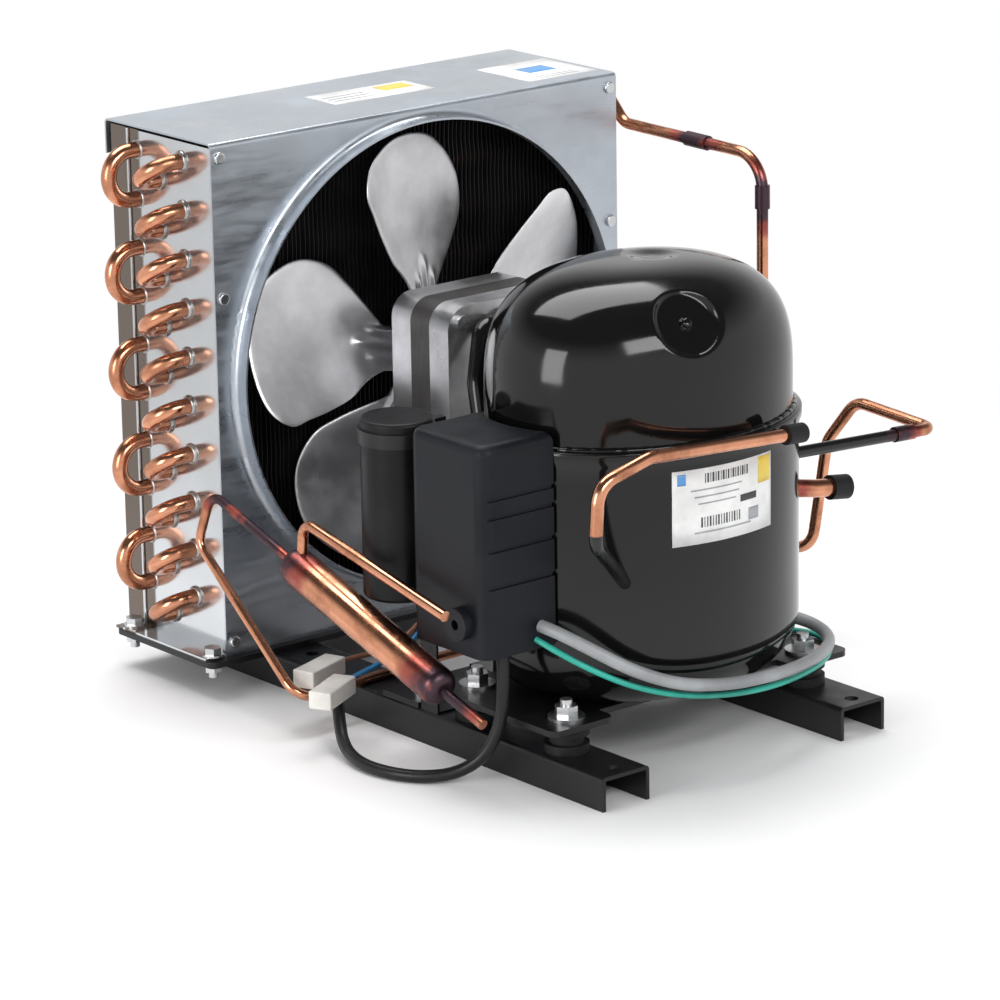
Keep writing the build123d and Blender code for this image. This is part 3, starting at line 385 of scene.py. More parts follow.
spangle_effect = Effect(
    "crystal_spangle",
    {"Dark": "Color", "Light": "Color", "Amount": "Float", "Roughness Low": "Float",
     "Roughness High": "Float"},
    {"Color": "Color", "Roughness": "Float", "Crystals": "Float", "Grain": "Float"})
crystals = spangle_effect.cells(170.0)
base = spangle_effect.mix(
    spangle_effect.span(spangle_effect.noise(5.0, 4.0, rough=0.6), 0.3, 0.72),
    spangle_effect.given["Dark"], spangle_effect.given["Light"])
spangle_effect.give(
    Color=spangle_effect.mix(
        spangle_effect.math("MULTIPLY", crystals, spangle_effect.given["Amount"]),
        base, spangle_effect.given["Light"]),
    Roughness=spangle_effect.span(
        spangle_effect.noise(30.0, 4.0, stretch=(1.0, 1.0, 7.0)), 0.3, 0.75,
        spangle_effect.given["Roughness Low"], spangle_effect.given["Roughness High"]),
    Crystals=crystals,
    Grain=spangle_effect.noise(240.0, 3.0))

dulled = Effect(
    "dulled_copper",
    {"Bright": "Color", "Brown": "Color", "Tarnish": "Float"},
    {"Color": "Color", "Roughness": "Float", "Grain": "Float"})
patches = dulled.span(dulled.noise(34.0, 6.0, rough=0.7), 0.38, 0.70)
dulled.give(
    Color=dulled.mix(
        dulled.math("MULTIPLY", patches, dulled.given["Tarnish"]),
        dulled.given["Bright"], dulled.given["Brown"]),
    Roughness=dulled.span(patches, 0.0, 1.0, 0.15, 0.36),
    Grain=dulled.noise(260.0, 3.0))

stain = Effect(
    "torch_stain",
    {"Color": "Color", "Roughness": "Float", "Place": "Vector", "Radius": "Float"},
    {"Color": "Color", "Roughness": "Float"})
apart = stain.node("VectorMath", operation="DISTANCE")
stain.join(stain.place, apart.inputs[0])
stain.join(stain.given["Place"], apart.inputs[1])
heat = stain.math("SUBTRACT", 1.0, stain.math(
    "DIVIDE", apart.outputs["Value"], stain.given["Radius"]), clamp=True)
heat = stain.math("MULTIPLY", heat, stain.span(stain.noise(120.0, 4.0), 0.2, 0.6, 0.7, 1.3))
red = stain.mix(stain.span(heat, 0.08, 0.40), stain.given["Color"], (0.34, 0.09, 0.07))
stain.give(
    Color=stain.mix(stain.span(heat, 0.40, 0.80), red, (0.07, 0.045, 0.055)),
    Roughness=stain.math("ADD", stain.given["Roughness"], stain.math("MULTIPLY", heat, 0.25)))
print("shared effects", len(bpy.data.node_groups))

# %% [markdown]
# Zinc-coated sheet has a faint spangle of crystal cells, long roller marks and cloudy
# patches.  The end plates are the brighter side of the same coil of steel.

# %% Sheet metals
def shades(colour, dark, light):
    return tuple(c * dark for c in colour), tuple(min(1.0, c * light) for c in colour)


def zinc_sheet(name, colour, roughness, amount=0.2):
    finish = Finish(name, colour, roughness, metallic=0.9)
    dark, light = shades(colour, 0.82, 1.12)
    look = finish.use(spangle_effect, Dark=dark, Light=light, Amount=amount,
                      Roughness_Low=roughness * 0.75, Roughness_High=roughness * 1.4)
    finish.set("Base_Color", look["Color"])
    finish.set("Roughness", look["Roughness"])
    finish.bump(look["Crystals"], 0.02, 0.2)
    finish.bump(look["Grain"], 0.03, 0.25)
    return finish


shroud_finish = zinc_sheet("zinc_shroud", (0.50, 0.54, 0.59), 0.34)
plate_finish = zinc_sheet("zinc_end_plate", (0.62, 0.64, 0.66), 0.13, amount=0.08)
# From 147.5 mm in Y, the rear part of each end plate is mixed towards dark brown as painted shade
# and painted reflection of dark surroundings. A thin line near 159 mm is left out of this painted
# shade, at the plate's own colour.
rear_third = plate_finish.axis("Y")
painted_rear_shade = plate_finish.span(rear_third, 0.1475, 0.1500)
line = plate_finish.math(
    "MULTIPLY",
    plate_finish.span(rear_third, 0.1582, 0.1590),
    plate_finish.span(rear_third, 0.1600, 0.1608, 1.0, 0.0),
)
painted_rear_shade = plate_finish.math("SUBTRACT", painted_rear_shade, line, clamp=True)
bright = plate_finish.shader.inputs["Base Color"].links[0].from_socket
plate_finish.set("Base_Color", plate_finish.mix(painted_rear_shade, bright, (0.16, 0.13, 0.11)))

# %% [markdown]
# Copper goes from salmon where it is drawn bright, through brown where hands and years
# have dulled it, to a dark violet ring at each brazed joint.  Two lines are sprayed
# black together with the shell, as far as their first joint.

# %% Copper
def copper_finish(name, joints=(), tarnish=0.75, painted=None):
    finish = Finish(name, (0.66, 0.29, 0.17), 0.22, metallic=1.0)
    look = finish.use(dulled, Bright=(0.70, 0.32, 0.19), Brown=(0.27, 0.105, 0.055),
                      Tarnish=tarnish)
    colour, rough = look["Color"], look["Roughness"]
    for point, radius in joints:
        burnt = finish.use(stain, Color=colour, Roughness=rough,
                           Place=tuple(np.array(point) * MM), Radius=radius * MM)
        colour, rough = burnt["Color"], burnt["Roughness"]
    if painted:
        paint = painted(finish)
        colour = finish.mix(paint, colour, (0.006, 0.006, 0.006))
        rough = finish.span(paint, 0.0, 1.0, rough, 0.16)
        finish.set("Metallic", finish.math("SUBTRACT", 1.0, paint))
    finish.set("Base_Color", colour)
    finish.set("Roughness", rough)
    finish.bump(look["Grain"], 0.05, 0.2)
    return finish


def before_the_sleeve(finish):
    """1 on the discharge line's first run, up to its sleeve."""
    return finish.math(
        "MULTIPLY",
        finish.span(finish.axis("X"), 0.1195, 0.1200, 1.0, 0.0),
        finish.span(finish.axis("Y"), 0.0, 0.001, 1.0, 0.0))


def near_the_shell(finish):
    """1 on the lower part of the process stub."""
    return finish.span(finish.axis("Z"), 0.1365, 0.1375, 1.0, 0.0)


# %% [markdown]
# The shell is stamped steel under a thick gloss black.  The paint levels to a soft
# orange-peel, so reflections waver a little and the steel's dents still show.

# %% Paints
def gloss_black(name, level=0.004, roughness=0.06, peel=0.10):
    finish = Finish(name, (level,) * 3, roughness, Specular_IOR_Level=0.4)
    smears = finish.noise(26.0, 5.0)
    finish.set("Roughness", finish.span(smears, 0.35, 0.75, roughness, roughness * 2.4))
    up = finish.facing_up()
    specks = finish.span(finish.noise(700.0, 2.0), 0.6, 0.75, 0.0, 0.03)
    dust = finish.math("MULTIPLY", up, specks)
    finish.set("Base_Color", finish.mix(dust, (level, level, level), (0.35, 0.34, 0.33)))
    finish.bump(finish.noise(55.0, 2.0), peel, 0.35)
    finish.bump(finish.noise(900.0, 2.0), 0.01, 0.3)
    return finish


def mottled(name, colour, roughness, light=1.35, grain=600.0, depth=0.03, metallic=0.0,
            cloud=38.0, stretch=(1.0, 1.0, 1.0), **sockets):
    """Paint, plastic, rubber or metal with cloudy patches and a fine grain."""
    finish = Finish(name, colour, roughness, metallic=metallic, **sockets)
    low, high = shades(colour, 0.78, light)
    look = finish.use(mottle, Dark=low, Light=high, Cloud_Scale=cloud, Grain_Scale=grain,
                      Grain_Stretch=stretch, Roughness_Low=roughness * 0.85,
                      Roughness_High=roughness * 1.25)
    finish.set("Base_Color", look["Color"])
    finish.set("Roughness", look["Roughness"])
    finish.bump(look["Grain"], depth, 0.4)
    return finish


def plastic(name, colour, roughness, **more):
    return mottled(name, colour, roughness, **more)


def metal(name, colour, roughness, **more):
    return mottled(name, colour, roughness, light=1.12, metallic=0.95, cloud=28.0, **more)


lamination_finish = Finish("lamination_stack", (0.018, 0.017, 0.018), 0.5)
stack_wave = lamination_finish.node("TexWave", bands_direction="Y")
lamination_finish.join(lamination_finish.place, stack_wave.inputs["Vector"])
stack_wave.inputs["Scale"].default_value = 320.0
lamination_finish.bump(stack_wave.outputs["Fac"], 0.15, 0.6)
lamination_finish.set("Base_Color", lamination_finish.mix(
    lamination_finish.noise(60.0, 4.0), (0.010, 0.010, 0.011), (0.05, 0.045, 0.042)))

winding_finish = Finish("wound_copper", (0.45, 0.16, 0.07), 0.35, metallic=0.5)
turns = winding_finish.node("TexWave", bands_direction="Z")
winding_finish.join(winding_finish.place, turns.inputs["Vector"])
turns.inputs["Scale"].default_value = 260.0
winding_finish.bump(turns.outputs["Fac"], 0.3, 0.8)

finishes = {
    "galvanised": shroud_finish,
    # The fins' near-black colour is painted shade for the dim inside of the coil.
    "fins": mottled("fin_sheet_painted_shade", (0.016, 0.016, 0.017), 0.5, Specular_IOR_Level=0.3),
    "copper": copper_finish("drawn_copper"),
    "zinc_fastener": metal("zinc_plate", (0.62, 0.63, 0.64), 0.26, depth=0.02),
    "aluminium": metal("blade_sheet", (0.76, 0.76, 0.78), 0.34, stretch=(1.0, 3.0, 1.0)),
    "cast_metal": metal("cast_metal", (0.70, 0.70, 0.72), 0.32, depth=0.07, grain=330.0),
    "steel": metal("bare_steel", (0.42, 0.41, 0.40), 0.3),
    "laminations": lamination_finish,
    "winding": winding_finish,
    "shell_paint": gloss_black("shell_gloss"),
    "black_steel": mottled("rail_satin", (0.009, 0.009, 0.010), 0.34, Specular_IOR_Level=0.35),
    "rubber": plastic("rubber", (0.007, 0.007, 0.007), 0.55, depth=0.05, Specular_IOR_Level=0.3),
    "black_plastic": plastic("cover_plastic", (0.006, 0.007, 0.010), 0.42, grain=900.0,
                             Specular_IOR_Level=0.2),
    "capacitor_case": plastic("capacitor_case", (0.006, 0.006, 0.007), 0.38,
                              Specular_IOR_Level=0.2),
    "white_plastic": plastic("nylon", (0.72, 0.70, 0.66), 0.42, light=1.15),
    "cable_black": plastic("cable_black", (0.007, 0.007, 0.008), 0.38, grain=1200.0,
                           Specular_IOR_Level=0.35),
    "cable_grey": plastic("cable_grey", (0.30, 0.31, 0.32), 0.40, grain=1200.0, light=1.15),
    "wire_green": plastic("wire_green", (0.02, 0.34, 0.26), 0.36, light=1.2),
    "wire_blue": plastic("wire_blue", (0.02, 0.18, 0.40), 0.36, light=1.2),
    "wire_brown": plastic("wire_brown", (0.26, 0.12, 0.07), 0.36, light=1.2),
}
joint_stains = {
    "discharge_line": ([((126, -126, 131), 20), ((142, -11.5, 231), 26), ((142, 38, 252.6), 26)],
                       before_the_sleeve),
    "liquid_line": ([((-144.5, 40, 97), 42), ((-144.5, 70, 107), 18)], None),
    "filter_drier": ([((-144.5, 14, 89), 28), ((-144.5, -104, 50.5), 34)], None),
    "process_stub": ([], near_the_shell),
    "suction_stub": ([((50, -110, 115), 34)], None),
}
slot_of = {entry["node"]: entry["material_slot"] for entry in frame["record"]["subparts"]}


def dress(piece, finish):
    """Give every material slot of a piece one finish."""
    if not piece.material_slots:
        piece.data.materials.append(finish.material)
    for place in piece.material_slots:
        place.link = "OBJECT"
        place.material = finish.material


for name, node in nodes.items():
    dress(node, finishes[slot_of[name]])
dress(nodes["end_plate_left"], plate_finish)
dress(nodes["end_plate_right"], plate_finish)
dress(nodes["capacitor_bracket"], finishes["black_steel"])
dress(nodes["motor_bracket"], finishes["shell_paint"])
for name, (joints, painted) in joint_stains.items():
    dress(nodes[name], copper_finish(name + "_copper", joints, painted=painted))
print("finishes", len(finishes))

# %% [markdown]
# ## Cords
# Each lead repeats the route points of its CAD solid as the control points of a NURBS
# spline, which gives one smooth line.  The bevel makes it round.

# %% Leads
cords = {
    "black_cable": dict(
        diameter=6.2, slot="cable_black", stiffness="medium", far_end="connector",
        points=[
            (-116.0, -112.0, 69.0), (-116.0, -112.0, 51.0), (-117.2, -111.5, 32.0),
            (-122.5, -106.0, 15.0), (-132.0, -96.0, 5.6), (-144.0, -84.0, 3.3),
            (-152.5, -68.5, 3.4), (-154.5, -50.0, 3.6), (-150.0, -32.0, 5.0),
            (-142.5, -17.5, 10.5), (-136.0, -8.0, 22.2),
        ]),
    "grey_cable": dict(
        diameter=6.2, slot="cable_grey", stiffness="medium", far_end="object",
        points=[
            (-103.0, -124.5, 80.0), (-101.5, -134.0, 79.0), (-92.0, -148.0, 71.5),
            (-76.0, -160.5, 60.0), (-55.0, -170.0, 51.0), (-30.0, -175.5, 47.0),
            (-3.0, -176.0, 45.5), (23.0, -170.5, 44.0), (45.0, -161.0, 43.0),
            (62.0, -148.5, 42.5), (71.0, -134.0, 43.0), (72.0, -118.5, 44.5),
            (63.0, -106.0, 47.0), (50.0, -100.0, 50.0),
        ]),
    "green_wire": dict(
        diameter=3.0, slot="wire_green", stiffness="limp", far_end="object",
        points=[
            (-106.0, -124.5, 74.0), (-104.0, -133.0, 71.0), (-93.0, -146.0, 62.0),
            (-74.0, -158.0, 51.0), (-50.0, -166.5, 43.5), (-23.0, -171.0, 39.3),
            (5.0, -170.5, 37.5), (31.0, -164.0, 36.5), (53.0, -153.5, 35.4),
            (70.0, -140.5, 34.8), (80.0, -125.0, 34.7), (80.5, -108.0, 34.7),
            (70.0, -96.0, 34.7),
        ]),
    "blue_wire": dict(
        diameter=2.6, slot="wire_blue", stiffness="limp", far_end="object",
        points=[
            (-126.8, -2.0, 27.2), (-113.0, 5.0, 26.7), (-95.0, 10.0, 27.0),
            (-76.0, 12.0, 31.0), (-60.0, 14.0, 43.0), (-48.0, 17.0, 60.0),
            (-39.0, 21.0, 80.0), (-35.0, 24.5, 100.0), (-34.0, 26.0, 117.3),
        ]),
    "brown_wire": dict(
        diameter=2.6, slot="wire_brown", stiffness="limp", far_end="object",
        points=[
            (-110.9, 26.1, 27.2), (-98.0, 27.5, 26.7), (-82.0, 25.5, 27.0),
            (-65.0, 23.5, 33.0), (-51.0, 23.5, 45.0), (-39.0, 24.0, 62.0),
            (-30.0, 25.0, 82.0), (-26.0, 26.0, 101.0), (-25.0, 26.5, 117.3),
        ]),
}


def make_cord(name, diameter, slot, stiffness, far_end, points):
    curve = bpy.data.curves.new(name + "_curve", "CURVE")
    curve.dimensions = "3D"
    curve.bevel_depth = diameter / 2 * MM
    curve.bevel_resolution = 6
    curve.resolution_u = 14
    curve.use_fill_caps = True
    spline = curve.splines.new("NURBS")
    spline.points.add(len(points) - 1)
    for point, place in zip(spline.points, points):
        point.co = (*(np.array(place) * MM), 1.0)
    spline.order_u = 3
    spline.use_endpoint_u = True
    piece = bpy.data.objects.new(name + "_lead", curve)
    bpy.context.scene.collection.objects.link(piece)
    curve.materials.append(finishes[slot].material)
    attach(piece, "base")
    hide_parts(name)
    return piece


for name, facts in cords.items():
    make_cord(name, **facts)

# %% [markdown]
# ## The blades
# Five blades are pressed from sheet aluminium.  Each is an outline seen along the axis,
# filled by shrinking it towards a middle point, and lifted onto a pitched, cambered
# surface.  Three ridges run out of the root to stiffen it; each is a rounded hump across
# the blade that fades where it ends.

# %% Blade surface
shroud_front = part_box("end_plate_left")[0][1] / MM - 1.0
fan_plane = shroud_front - 5.3
fan_axis = np.array([fan_centre[0], fan_plane, fan_centre[2]])
blade_count, blade_phase, blade_pitch, camber_radius = 5, -15.5, math.radians(24.3), 270.0
blade_sheet, rib_height, rib_lean = 1.6, 1.7, math.radians(13.0)
blade_outline = np.array([
    (12.9, 21.0), (16.6, 28.0), (27.1, 36.0), (38.1, 44.5), (49.2, 56.0), (53.4, 74.0),
    (47.8, 92.2), (35.7, 105.6), (11.8, 113.6), (-12.8, 111.0), (-23.2, 100.0), (-21.9, 88.0),
    (-19.3, 73.0), (-15.3, 58.0), (-9.0, 46.0), (-5.5, 34.0), (-5.5, 21.0),
])


def smooth_loop(points, per_span=10):
    """Closed curve through the points, each span a cubic set by its two neighbours."""
    before, after = np.roll(points, 1, 0), np.roll(points, -1, 0)
    beyond = np.roll(points, -2, 0)
    t = np.linspace(0, 1, per_span, endpoint=False)[None, :, None]
    p0, p1, p2, p3 = (array[:, None] for array in (before, points, after, beyond))
    curve = 0.5 * (2 * p1 + (p2 - p0) * t + (2 * p0 - 5 * p1 + 4 * p2 - p3) * t**2
                   + (3 * p1 - p0 - 3 * p2 + p3) * t**3)
    return curve.reshape(-1, points.shape[1])


def blade_height(across, out):
    """Depth along the axis of the sheet's back face at a place across; out is not used."""
    along = across / math.cos(blade_pitch)
    for _ in range(3):
        sag = along**2 / (2 * camber_radius)
        along = (across - sag * math.sin(blade_pitch)) / math.cos(blade_pitch)
    return along * math.sin(blade_pitch) - along**2 / (2 * camber_radius) * math.cos(blade_pitch)


def blade_ribs(across, out):
    """Three rounded ridges along the root, faded at both ends."""
    side = across * math.cos(rib_lean) - out * math.sin(rib_lean)
    reach = across * math.sin(rib_lean) + out * math.cos(rib_lean)
    ridges = 0.0
    for offset, end in ((0.0, 52.0), (6.4, 44.0), (-6.4, 44.0)):
        fade = np.clip((end - reach) / 7.0, 0, 1)
        ridges = ridges + np.exp(-((side - offset) / 2.1) ** 2) * fade**2 * (3 - 2 * fade)
    return rib_height * ridges


def make_blades():
    loop = smooth_loop(blade_outline)
    middle = np.array([6.0, 74.0])
    shrink = 1 - np.linspace(1, 0.02, 34)[:, None, None] ** 1.6
    shrink = np.vstack([[[[0.0]]], shrink[1:], [[[1.0]]]])
    flat = middle + (loop - middle)[None] * shrink
    across, out = flat[..., 0], flat[..., 1]
    back = blade_height(across, out)
    taper = np.sqrt(np.clip(1 - shrink[..., 0] ** 40, 0, 1))
    half = blade_sheet / 2 * taper
    ridge = blade_ribs(across, out) * taper
    gathered = Bunch()
    for k in range(blade_count):
        turn = math.radians(blade_phase + 360.0 / blade_count * k)
        for side in (-1, 1):
            depth = back - blade_sheet / 2 + side * half - ridge
            x = across * math.cos(turn) + out * math.sin(turn)
            z = -across * math.sin(turn) + out * math.cos(turn)
            grid = fan_axis + np.stack([x, depth, z], -1)
            gathered.grid(grid[:, ::side], close_cols=True)
    return gathered.mesh("blades")


def merged(mesh, distance=0.0002):
    """Join coincident points and make faces point outwards."""
    work = bmesh.new()
    work.from_mesh(mesh)
    bmesh.ops.remove_doubles(work, verts=work.verts, dist=distance * MM * 10)
    bmesh.ops.recalc_face_normals(work, faces=work.faces)
    work.to_mesh(mesh)
    work.free()
    return mesh


blades = link("fan_blade_sheet", merged(make_blades()), "fan")
dress(blades, finishes["aluminium"])
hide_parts("fan_blades")
print("blade faces", len(blades.data.polygons))

# %% [markdown]
# ## The compressor shell
# Two deep-drawn cups are welded together at the waist.  Seen from above the shell is an
# oval, so each cup is a turned profile narrowed along Y.  The upper cup carries a pressed
# dish with a small stud, and a shallow dimple on its crown.

# %% Dome
lower_a, lower_b, upper_a, upper_b = 84.0, 68.0, 81.0, 65.0
shell_bottom, seam_z = lower_low[2], upper_low[2]
dome_start, dome_top = seam_z + 15.0, upper_high[2]


def oval(profile, a, b, around):
    """Turn a profile of (share of the half width, height) round the oval."""
    angle = np.linspace(0, 2 * np.pi, around, endpoint=False)
    share, height = np.array(profile, float).T
    return np.stack([
        comp_centre[0] + a * share[:, None] * np.cos(angle),
        comp_centre[1] + b * share[:, None] * np.sin(angle),
        np.broadcast_to(height[:, None], (len(share), around)),
    ], -1)


def bell(distance, reach, flat=0.0):
    """1 inside a flat middle, falling smoothly to 0 at the reach."""
    t = np.clip((reach - distance) / (reach - flat), 0, 1)
    return t * t * (3 - 2 * t)


def press(grid, point, out, reach, depth, flat):
    """Push a round dish into a surface around a point, against its outward direction."""
    out = np.array(out, float) / np.linalg.norm(out)
    offset = grid - np.array(point, float)
    beside = np.linalg.norm(offset - (offset @ out)[..., None] * out, axis=-1)
    beside = np.where(offset @ out < -25.0, 1e3, beside)
    return grid - out * (depth * bell(beside, reach, flat))[..., None]


def flatten(grid, point, out, reach, depth, flat):
    """Sink a round dish with a level floor, at a depth below a point on the surface."""
    out = np.array(out, float) / np.linalg.norm(out)
    offset = grid - np.array(point, float)
    height = offset @ out
    beside = np.linalg.norm(offset - height[..., None] * out, axis=-1)
    share = np.where(height < -25.0, 0.0, bell(beside, reach, flat))
    return grid + out * (np.minimum(0.0, -depth - height) * share)[..., None]


crown = np.linspace(0.0, math.pi / 2, 150)
dome_profile = [(1.0, z) for z in np.linspace(seam_z, dome_start, 12)[:-1]] + [
    (max(0.0, math.cos(t)) ** (2 / 3),
     dome_start + (dome_top - dome_start) * math.sin(t) ** (2 / 3))
    for t in crown**1.5 / (math.pi / 2) ** 0.5
]
dome_grid = oval(dome_profile, upper_a, upper_b, 360)
dish_point, dish_out, dish_depth = (-31.0, -150.6, 221.3), (-0.145, -0.795, 0.589), 5.0
dome_grid = flatten(dome_grid, dish_point, dish_out, 18.5, dish_depth, 15.0)
dimple_point = (comp_centre[0] + 12.0, comp_centre[1] + 4.0, dome_top)
dome_grid = press(dome_grid, dimple_point, (0, 0, 1), 15.0, 1.6, 2.0)
dome = Bunch()
dome.grid(dome_grid, close_cols=True)
upper_shell = link("dome_shell", merged(dome.mesh("dome")), "base")
dress(upper_shell, finishes["shell_paint"])
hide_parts("compressor_upper_shell")

# %% [markdown]
# The lower cup is belled out at its rim to take the dome, and the weld bead runs round
# that rim: a thin ring whose width and height wander a little, as a torch's does.

# %% Lower cup, weld and stud
bottom_round = 29.0
bend = np.linspace(-math.pi / 2, 0, 26)
base_a = lower_a - bottom_round
lower_profile = [(share, shell_bottom) for share in np.linspace(0.0, base_a / lower_a, 10)[:-1]]
lower_profile += [
    ((base_a + bottom_round * math.cos(t)) / lower_a,
     shell_bottom + bottom_round * (1 + math.sin(t)))
    for t in bend
]
lower_profile += [(1.0, z) for z in np.linspace(shell_bottom + bottom_round, seam_z - 9.0, 14)[1:]]
lower_profile += [(1.008, seam_z - 6.5), (1.017, seam_z - 4.5), (1.018, seam_z - 2.0),
                  (1.018, seam_z - 0.6), (1.012, seam_z), (0.975, seam_z)]
lower = Bunch()
lower.grid(oval(lower_profile, lower_a, lower_b, 220), close_cols=True)
lower_shell = link("lower_cup", merged(lower.mesh("lower")), "base")
dress(lower_shell, finishes["shell_paint"])
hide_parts("compressor_lower_shell")

around = np.linspace(0, 2 * np.pi, 720, endpoint=False)
section = np.linspace(0, 2 * np.pi, 14, endpoint=False)
wander = 0.25 * np.sin(61 * around) + 0.15 * np.sin(97 * around + 1) + 0.2 * np.sin(7 * around)
bead_radius = (1.35 + 0.35 * wander)[:, None]
bead_share = upper_a + 0.6 + bead_radius * np.cos(section)
bead_y = upper_b + 0.6 + bead_radius * np.cos(section)
bead = Bunch()
bead.grid(np.stack([
    comp_centre[0] + bead_share * np.cos(around)[:, None],
    comp_centre[1] + bead_y * np.sin(around)[:, None],
    seam_z + 0.5 + bead_radius * np.sin(section),
], -1), close_rows=True, close_cols=True)
stud_out = np.array(dish_out) / np.linalg.norm(dish_out)
stud_seat = np.array(dish_point) - stud_out * dish_depth
stud_profile = [(0.0, 3.0), (1.6, 3.0), (2.2, 2.6), (2.5, 1.8), (2.6, 0.6),
                (3.6, 0.0), (3.6, -1.2), (0.0, -1.2)]
bead.grid(turned_grid(stud_profile, stud_seat, stud_out, 32), close_cols=True)
weld = link("shell_weld", merged(bead.mesh("weld")), "base")
dress(weld, finishes["shell_paint"])
print("shell faces", sum(len(p.data.polygons) for p in (upper_shell, lower_shell, weld)))

# %% [markdown]
# ## The coil
# The fins are thin sheets pressed onto thirty tubes.  Each sheet is a strip with a wavy
# front edge; the tubes run straight through.  Only the edges and the dark gaps show
# through the ring and from behind.  The fins are coloured near black, a painted shade
# for the dim inside of the coil.

# %% Fins and straight tubes
fin_low, fin_high = box_mm("fin_pack")
row_ys = shroud_front + np.array([25.5, 44.5, 63.5])
tube_pitch, top_tube_z, tube_d = 25.0, shroud_high[2] - 12.3, 8.0
fin_count, fin_thickness = 92, 0.35
tube_places = [
    (row_ys[row], top_tube_z - (tube_pitch / 2 if row == 1 else 0.0) - tube_pitch * k)
    for row in range(3) for k in range(10)
]
rows = np.linspace(0, 1, 26)
ripple = 0.5 * np.sin(rows * np.pi * 20)
fins = Bunch()
random = np.random.default_rng(7)
for x in np.linspace(fin_low[0] + 0.4, fin_high[0] - 0.4, fin_count):
    lean = random.normal(0, 0.25)
    heights = fin_low[2] + (fin_high[2] - fin_low[2]) * rows
    wave = x + lean * np.sin(rows * np.pi * random.integers(1, 4))
    strip = np.stack([
        np.stack([wave + dx, np.full(26, y) + shift * ripple, heights], -1)
        for dx, y, shift in (
            (-fin_thickness / 2, fin_low[1] + 0.6, 1), (fin_thickness / 2, fin_low[1] + 0.6, 1),
            (fin_thickness / 2, fin_high[1] - 0.6, -1), (-fin_thickness / 2, fin_high[1] - 0.6, -1),
        )
    ], 1)
    fins.grid(strip, close_cols=True, cap_ends=True)
fin_piece = link("coil_fins", merged(fins.mesh("fins", smooth=False)), "base")
dress(fin_piece, finishes["fins"])
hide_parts("fin_pack")

straight = Bunch()
ends = np.array([fin_low[0] - 0.2, fin_high[0] + 0.2])
for y, z in tube_places:
    run = np.array([(x, y, z) for x in ends])
    straight.grid(tube_grid(run, tube_d / 2 - 0.1, 16), close_cols=True, cap_ends=True)
tube_piece = link("coil_tubes", merged(straight.mesh("tubes")), "base")
dress(tube_piece, finishes["copper"])
collars = Bunch()
collar_profile = [(tube_d / 2 + 0.05, -0.1), (tube_d / 2 + 1.5, -0.1), (tube_d / 2 + 1.3, 0.7),
                  (tube_d / 2 + 0.5, 1.5), (tube_d / 2 + 0.05, 1.7)]
plate_left, plate_right = shroud_low[0] + 0.5, shroud_high[0] - 0.5
for face, way in ((plate_left, -1), (plate_right, 1)):
    for y, z in tube_places:
        step = 1.0 if y > shroud_front + 62.0 else 0.0
        collars.grid(turned_grid(collar_profile, (face - way * step, y, z), (way, 0, 0), 28),
                     close_rows=True, close_cols=True)
collar_piece = link("tube_collars", merged(collars.mesh("collars")), "base")
dress(collar_piece, finishes["steel"])
print("fins", fin_count, "faces", len(fin_piece.data.polygons))

# %% [markdown]
# ## Plates and stickers
# The plates on this kind of unit are paper or foil, so here they are bare: a white field,
# a yellow patch and plain ruled lines, with no words.  Each is a small curved grid that
# lies just off the surface it is stuck to.

# %% Plate finish and shapes
paper = plastic("paper_white", (0.80, 0.80, 0.79), 0.38, grain=300.0, depth=0.01, light=1.1)
yellow_paper = plastic("paper_yellow", (0.80, 0.58, 0.08), 0.38, grain=300.0, depth=0.01, light=1.1)
blue_paper = plastic("paper_blue", (0.10, 0.30, 0.62), 0.38, grain=300.0, depth=0.01, light=1.1)
ink = plastic("rule_ink", (0.035, 0.035, 0.04), 0.4, grain=300.0, depth=0.01)
grey_ink = plastic("rule_grey", (0.30, 0.31, 0.33), 0.4, grain=300.0, depth=0.01)


def wall_patch(centre_angle, height, width, tall, lift, tilt=0.0, cols=24):
    """Grid on the lower shell's wall: angle round the oval, height, size in millimetres."""
    u = np.linspace(-width / 2, width / 2, cols)
    v = np.linspace(tall / 2, -tall / 2, 4)
    across, up = np.meshgrid(u, v)
    angle = centre_angle + across / lower_a
    z = height + up + tilt * across
    outward = np.stack([np.cos(angle) / lower_a, np.sin(angle) / lower_b, 0 * angle], -1)
    outward /= np.linalg.norm(outward, axis=-1)[..., None]
    wall = np.stack([
        comp_centre[0] + lower_a * np.cos(angle),
        comp_centre[1] + lower_b * np.sin(angle),
        z,
    ], -1)
    return wall + outward * lift


def stick(name, grids, finish):
    gathered = Bunch()
    for grid in grids:
        gathered.grid(grid)
    mesh = merged(gathered.mesh(name))
    piece = link(name, mesh, "base")
    dress(piece, finish)
    wall = piece.modifiers.new("thickness", "SOLIDIFY")
    wall.thickness, wall.offset = 0.05 * MM, 0.0
    return piece


plate_angle, plate_height, plate_width, plate_tall, slope = -1.62, 133.5, 62.0, 37.0, 0.0


def on_plate(across, up, width, tall, lift=0.34):
    """Patch at a place on the front plate, measured from the plate's middle."""
    angle = plate_angle + across / lower_a
    return wall_patch(angle, plate_height + up + slope * across, width, tall, lift, slope)


